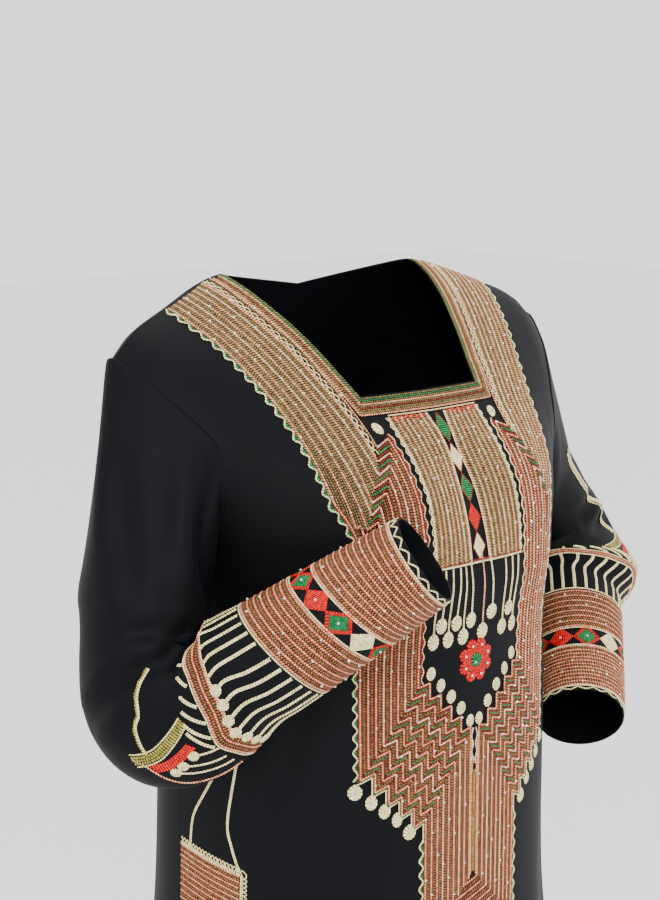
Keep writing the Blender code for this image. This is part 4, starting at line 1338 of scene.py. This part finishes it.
def elbow_motifs(name, sleeve):
    """Cords with coins, the band above them and the pointed motif beyond it."""
    centre = MOTIF_TURN[name]
    base = wound(ELBOW_BAND, TURNS)
    rings = np.linspace(base - 0.5, np.full(len(TURNS), BAND_LIMIT), 40)
    points, _ = sleeve.at(rings, TURNS + centre)
    run = np.cumsum(np.linalg.norm(np.diff(points, axis=0, prepend=points[:1]), axis=-1), axis=0)
    start = [np.interp(ring, rings[:, i], run[:, i]) for i, ring in enumerate(base)]
    left = TAKEN_IN[name]
    width_left = wound([(-2.0, 1.0), (1.0, left), (7.5, left), (11.0, 1.0)], TURNS)

    def ring_below(distance):
        """Ring numbers round the sleeve, a distance down it from the band's first line."""
        return np.array([np.interp(start[i] + distance * width_left[i], run[:, i], rings[:, i])
                         for i in range(len(TURNS))])

    def moved(places):
        return [(ring, turn + centre) for ring, turn in places]

    def band_row(colour, distance, width, height):
        line = np.stack([ring_below(distance), TURNS + centre], axis=1)
        row(colour, line_on(sleeve.at, line), width, height, 0.2)

    for n in range(CORDS_ROUND):
        turn = FIRST_CORD + n * AROUND / CORDS_ROUND
        free = not CREASED[name][0] < turn < CREASED[name][1]
        reach = ELBOW_PITCH * ELBOW_EDGES[1] + (COIN_GAP if free else 0.5)
        end = float(np.interp(turn % AROUND, TURNS, ring_below(reach)))
        bend = 0.35 if free else 0.0
        path = moved([(end + (CORD_FEET - end) * part, turn - bend * bent)
                      for part, bent in ((1, 1), (0.6, 0.8), (0.25, 0.1), (0, 0))])
        row("cream", line_on(sleeve.at, smooth(path, 6)), 2.6, 1.2, 0.15)
        if free:
            sleeve_coins.append((name, end - 0.1, turn + centre, 9.0, 9.5))
    for k in range(ELBOW_LINES):
        for offset, colour, width, height in GROUP:
            if k + offset <= ELBOW_LINES - 1:
                band_row(colour, (k + offset) * ELBOW_PITCH, width, height)
    for edge in ELBOW_EDGES:
        band_row("cream", edge * ELBOW_PITCH, 1.2, 1.0)
    for cord in SHORT_CORDS:
        row("cream", line_on(sleeve.at, moved(cord)), 2.5, 1.2, 0.15)
    for shift, colour, width in BRAID_ROWS:
        braid = [(ring + 0.45 * shift, turn - 0.5 * shift) for ring, turn in BRAID]
        row(colour, line_on(sleeve.at, smooth(moved(braid))), width, 1.2, 0.2)
    for shift in (-0.22, 0.0, 0.22):
        strip = [(ring + 0.5 * shift, turn - 0.5 * shift) for ring, turn in RED_STRIP]
        row("red", line_on(sleeve.at, smooth(moved(strip))), 2.6, 1.0, 0.15)
    for coin, start in TIP_COINS:
        row("cream", line_on(sleeve.at, moved([coin, start])), 1.8, 1.0, 0.15)
        sleeve_coins.append((name, coin[0], coin[1] + centre, 8.5, 9.0))
    row("salmon", line_on(sleeve.at, smooth(moved(HEM_CORD))), 1.4, 1.0, 0.15)
    tip = smooth(moved(TIP_CORDS[name]))
    row("cream", line_on(sleeve.at, tip), 2.0, 1.2, 0.15)
    row("gold", wavy(sleeve.at, tip, 1.5, 0.3, 9.0), 1.3, 1.0, 0.15)
    if name == "left":
        row("cream", wavy(sleeve.at, tip, -1.9, 0.3, 9.0), 2.2, 1.1, 0.15)
        row("cream", wavy(sleeve.at, tip, 3.4, 0.3, 9.0), 2.2, 1.1, 0.15)


sleeve_coins = []
for sleeve_name, sleeve in SLEEVES.items():
    sleeve_band(sleeve_name, sleeve, WRIST, "wrist_band")
    sleeve_band(sleeve_name, sleeve, FOREARM, "forearm_band")
    cuff_zigzag(sleeve)
    diamond_row(sleeve_name, sleeve)
    elbow_motifs(sleeve_name, sleeve)

for rows in ROWS.values():
    if rows.count:
        rows.finish()


# Coins and stones: copies of one shape, set out by Geometry Nodes.
def coin_shape():
    """A padded drop of satin stitch, one unit wide and long, its point upwards."""
    count, rings = 24, 4
    angle = np.arange(count) * 2 * np.pi / count
    taper = 1 - 0.45 * np.clip(np.cos(angle), 0, 1) ** 3
    outline = np.stack([0.5 * np.sin(angle) * taper, 0.5 * np.cos(angle), 0 * angle], axis=1)
    ray = 0.05 * np.cos(np.arange(count) * np.pi)
    blocks, uv = [], []
    for ring in range(rings):
        share = 1 - ring / rings
        block = outline * share
        block[:, 2] = (0.0 if ring == 0 else 0.55 + 0.45 * (1 - share**2)) + ray * (ring > 0)
        blocks.append(block)
        uv.append(np.stack([0.5 + 0 * angle, np.arange(count) / 2.0], axis=1))
    blocks.append([[0, 0, 1.0]])
    uv.append([[0.5, 0.25]])
    faces = []
    for ring in range(rings - 1):
        for i in range(count):
            k = (i + 1) % count
            faces.append((ring * count + i, (ring + 1) * count + i, (ring + 1) * count + k,
                          ring * count + k))
    last = (rings - 1) * count
    faces += [(last + i, rings * count, last + (i + 1) % count) for i in range(count)]
    return np.concatenate(blocks), faces, np.concatenate(uv)


def stone_shape():
    """A cut stone: a flat table over eight slanting sides."""
    angle = np.arange(8) * np.pi / 4
    base = np.stack([0.5 * np.cos(angle), 0.5 * np.sin(angle), 0 * angle], axis=1)
    table = base * 0.55 + [0, 0, 1.0]
    faces = [(i, (i + 1) % 8, 8 + (i + 1) % 8, 8 + i) for i in range(8)] + [tuple(range(8, 16))]
    return np.concatenate([base, table]), faces, None


def base_piece(name, shape):
    points, faces, uv = shape
    mesh = mesh_of(name, points, faces, uv)
    if uv is not None:
        mesh.polygons.foreach_set("use_smooth", [True] * len(mesh.polygons))
    return bpy.data.objects.new(name, mesh)


def scatter_nodes(name):
    """Copies of a piece on a mesh's points, turned and sized by their own attributes."""
    tree = bpy.data.node_groups.new(name, "GeometryNodeTree")
    face = tree.interface
    face.new_socket("Geometry", in_out="INPUT", socket_type="NodeSocketGeometry")
    face.new_socket("Piece", in_out="INPUT", socket_type="NodeSocketObject")
    face.new_socket("Finish", in_out="INPUT", socket_type="NodeSocketMaterial")
    face.new_socket("Geometry", in_out="OUTPUT", socket_type="NodeSocketGeometry")
    given = node(tree, "NodeGroupInput")

    def named(attribute):
        return node(tree, "GeometryNodeInputNamedAttribute", {"data_type": "FLOAT_VECTOR"},
                    Name=attribute).outputs["Attribute"]

    upright = node(tree, "FunctionNodeAlignRotationToVector", {"axis": "Z"},
                   Vector=named("facing"))
    turned = node(tree, "FunctionNodeAlignRotationToVector", {"axis": "Y", "pivot_axis": "Z"},
                  Rotation=upright.outputs["Rotation"], Vector=named("upward"))
    piece = node(tree, "GeometryNodeObjectInfo", Object=given.outputs["Piece"])
    spread = node(tree, "GeometryNodeInstanceOnPoints", Points=given.outputs["Geometry"],
                  Instance=piece.outputs["Geometry"], Rotation=turned.outputs["Rotation"],
                  Scale=named("size"))
    real = node(tree, "GeometryNodeRealizeInstances", Geometry=spread.outputs["Instances"])
    finish = node(tree, "GeometryNodeSetMaterial", Geometry=real.outputs["Geometry"],
                  Material=given.outputs["Finish"])
    node(tree, "NodeGroupOutput", Geometry=finish.outputs["Geometry"])
    return tree


SCATTER = scatter_nodes("scatter")


def scatter(name, base, places, finish):
    """places is a list of point, facing, upward direction and size in millimetres."""
    mesh = bpy.data.meshes.new(name)
    mesh.from_pydata([(np.asarray(p[0]) * MM).tolist() for p in places], [], [])
    for column, attribute in enumerate(("facing", "upward", "size"), start=1):
        layer = mesh.attributes.new(attribute, "FLOAT_VECTOR", "POINT")
        scale = MM if attribute == "size" else 1.0
        values = np.array([np.asarray(p[column], float) * scale for p in places], np.float32)
        layer.data.foreach_set("vector", values.ravel())
    holder = bpy.data.objects.new(name + "_points", mesh)
    COLLECTION.objects.link(holder)
    COLLECTION.objects.link(base)
    spread = holder.modifiers.new("scatter", "NODES")
    spread.node_group = SCATTER
    sockets = {item.name: item.identifier for item in SCATTER.interface.items_tree
               if item.in_out == "INPUT"}
    spread[sockets["Piece"]] = base
    spread[sockets["Finish"]] = finish
    graph = bpy.context.evaluated_depsgraph_get()
    real = bpy.data.meshes.new_from_object(holder.evaluated_get(graph))
    bpy.data.objects.remove(holder)
    bpy.data.objects.remove(base)
    real.name = name
    return placed(name, real)


UP = np.array([0.0, 0.0, 1.0])


def set_out(point, normal, lean, size, lift, up=UP):
    """A place for a copy: lean turns its upward direction about the normal, in degrees."""
    up = unit(up - normal * np.dot(up, normal))
    beside = np.cross(up, normal)
    angle = np.radians(lean)
    return (point + normal * lift, normal, up * np.cos(angle) + beside * np.sin(angle), size)


coin_places = []
for x, z, lean, width, length in coins:
    point, normal = front_at(x, z)
    coin_places.append(set_out(point, normal, lean, (width, length, 1.3), 0.1))
for name, ring, turn, width, length in sleeve_coins:
    point, normal = SLEEVES[name].at(ring, turn)
    ahead = SLEEVES[name].at(ring + 0.1, turn)[0] - point
    coin_places.append(set_out(point, normal, 0, (width, length, 1.4), 0.1, unit(ahead)))
scatter("satin_coins", base_piece("coin", coin_shape()), coin_places, THREADS["cream"])

# Stones: on the rosette, the diamonds and, well apart, on the salmon lines.
STONE_SPACING = 46.0
SLEEVE_STONES = 54
STONE_STATIONS = (14, 31, 47, 62, 97, 113, 125)
for side in (-1, 1):
    for k in range(LINES + 1):
        path = band_line(k, side)
        points, _ = front_at(path[:, 0], path[:, 1])
        even = resampled(path, points, 2.0)
        count = int(run_of(points)[-1] / STONE_SPACING)
        for n in range(count):
            share = (n + (k * GOLDEN + 0.3 * (side > 0)) % 1) / count
            stones.append((*even[int(share * (len(even) - 1))], 2.0))
    for k in range(1, COLUMN_LINES - 1):
        for n in range(2):
            path = column_line(k / (COLUMN_LINES - 1), side)
            stones.append((*path[int((n + (k * GOLDEN) % 1) / 2 * (len(path) - 1))], 1.9))
stone_places = []
for x, z, size in stones:
    point, normal = front_at(x, z)
    lift = 1.9 if max(abs(x), abs(z - ROSETTE_Z)) < ROSETTE_REACH else 1.3
    stone_places.append(set_out(point, normal, 0, (size, size, 0.8), lift))
for name, sleeve in SLEEVES.items():
    for n in range(SLEEVE_STONES):
        station = STONE_STATIONS[n % len(STONE_STATIONS)]
        point, normal = sleeve.at(sleeve.ring(station), (n * GOLDEN * 7.3) % AROUND)
        stone_places.append(set_out(point, normal, 0, (2.0, 2.0, 0.8), 1.2))
    for n in range(-1, DIAMONDS_ROUND - 1):
        turn = FIRST_DIAMOND[name] - n * AROUND / DIAMONDS_ROUND
        point, normal = sleeve.at(sleeve.ring(DIAMOND_STATION), turn)
        stone_places.append(set_out(point, normal, 0, (2.1, 2.1, 0.8), 1.0))
scatter("rhinestones", base_piece("stone", stone_shape()), stone_places, STONE)


# Camera, light and floor.
def facing(way):
    return Vector(way).to_track_quat("-Z", "Y").to_euler()


def light(name, location, target, size, power, colour="#ffffff"):
    data = bpy.data.lights.new(name, "AREA")
    data.shape = "DISK"
    data.size = size
    data.energy = power
    data.color = hexa(colour)[:3]
    lamp = bpy.data.objects.new(name, data)
    COLLECTION.objects.link(lamp)
    lamp.location = location
    lamp.rotation_euler = facing(np.subtract(target, location))


CAMERA_AT = (-1.0487, -1.1772, 0.1415)
CAMERA_WAY = (0.649, 0.738, -0.186)
camera_data = bpy.data.cameras.new("camera")
camera_data.lens = 79.4
camera_data.sensor_width = 36.0
camera = bpy.data.objects.new("camera", camera_data)
COLLECTION.objects.link(camera)
camera.location = CAMERA_AT
camera.rotation_euler = facing(CAMERA_WAY)
bpy.context.scene.camera = camera

light("key_softbox", (-1.9, -2.2, 1.3), (0, -0.05, -0.35), 1.2, 64)
light("fill_softbox", (2.2, -1.6, 0.6), (0, 0, -0.35), 1.8, 18)
light("top_softbox", (0.2, 0.4, 2.2), (0, 0, -0.3), 1.6, 22)
world = bpy.data.worlds.new("studio")
bpy.context.scene.world = world
world.use_nodes = True
world.node_tree.nodes["Background"].inputs["Color"].default_value = hexa("#ffffff")
world.node_tree.nodes["Background"].inputs["Strength"].default_value = 1.75

FLOOR_Z = -1.45
FLOOR_HALF = 12.0
floor_mesh = bpy.data.meshes.new("floor")
floor_mesh.from_pydata([(x * FLOOR_HALF, y * FLOOR_HALF, FLOOR_Z)
                        for x, y in ((-1, -1), (1, -1), (1, 1), (-1, 1))], [], [(0, 1, 2, 3)])
floor_mesh.materials.append(blank("pale_floor", {"Base Color": hexa("#f6f6f6"),
                                                 "Roughness": 0.9})[0])
floor = bpy.data.objects.new("floor", floor_mesh)
COLLECTION.objects.link(floor)
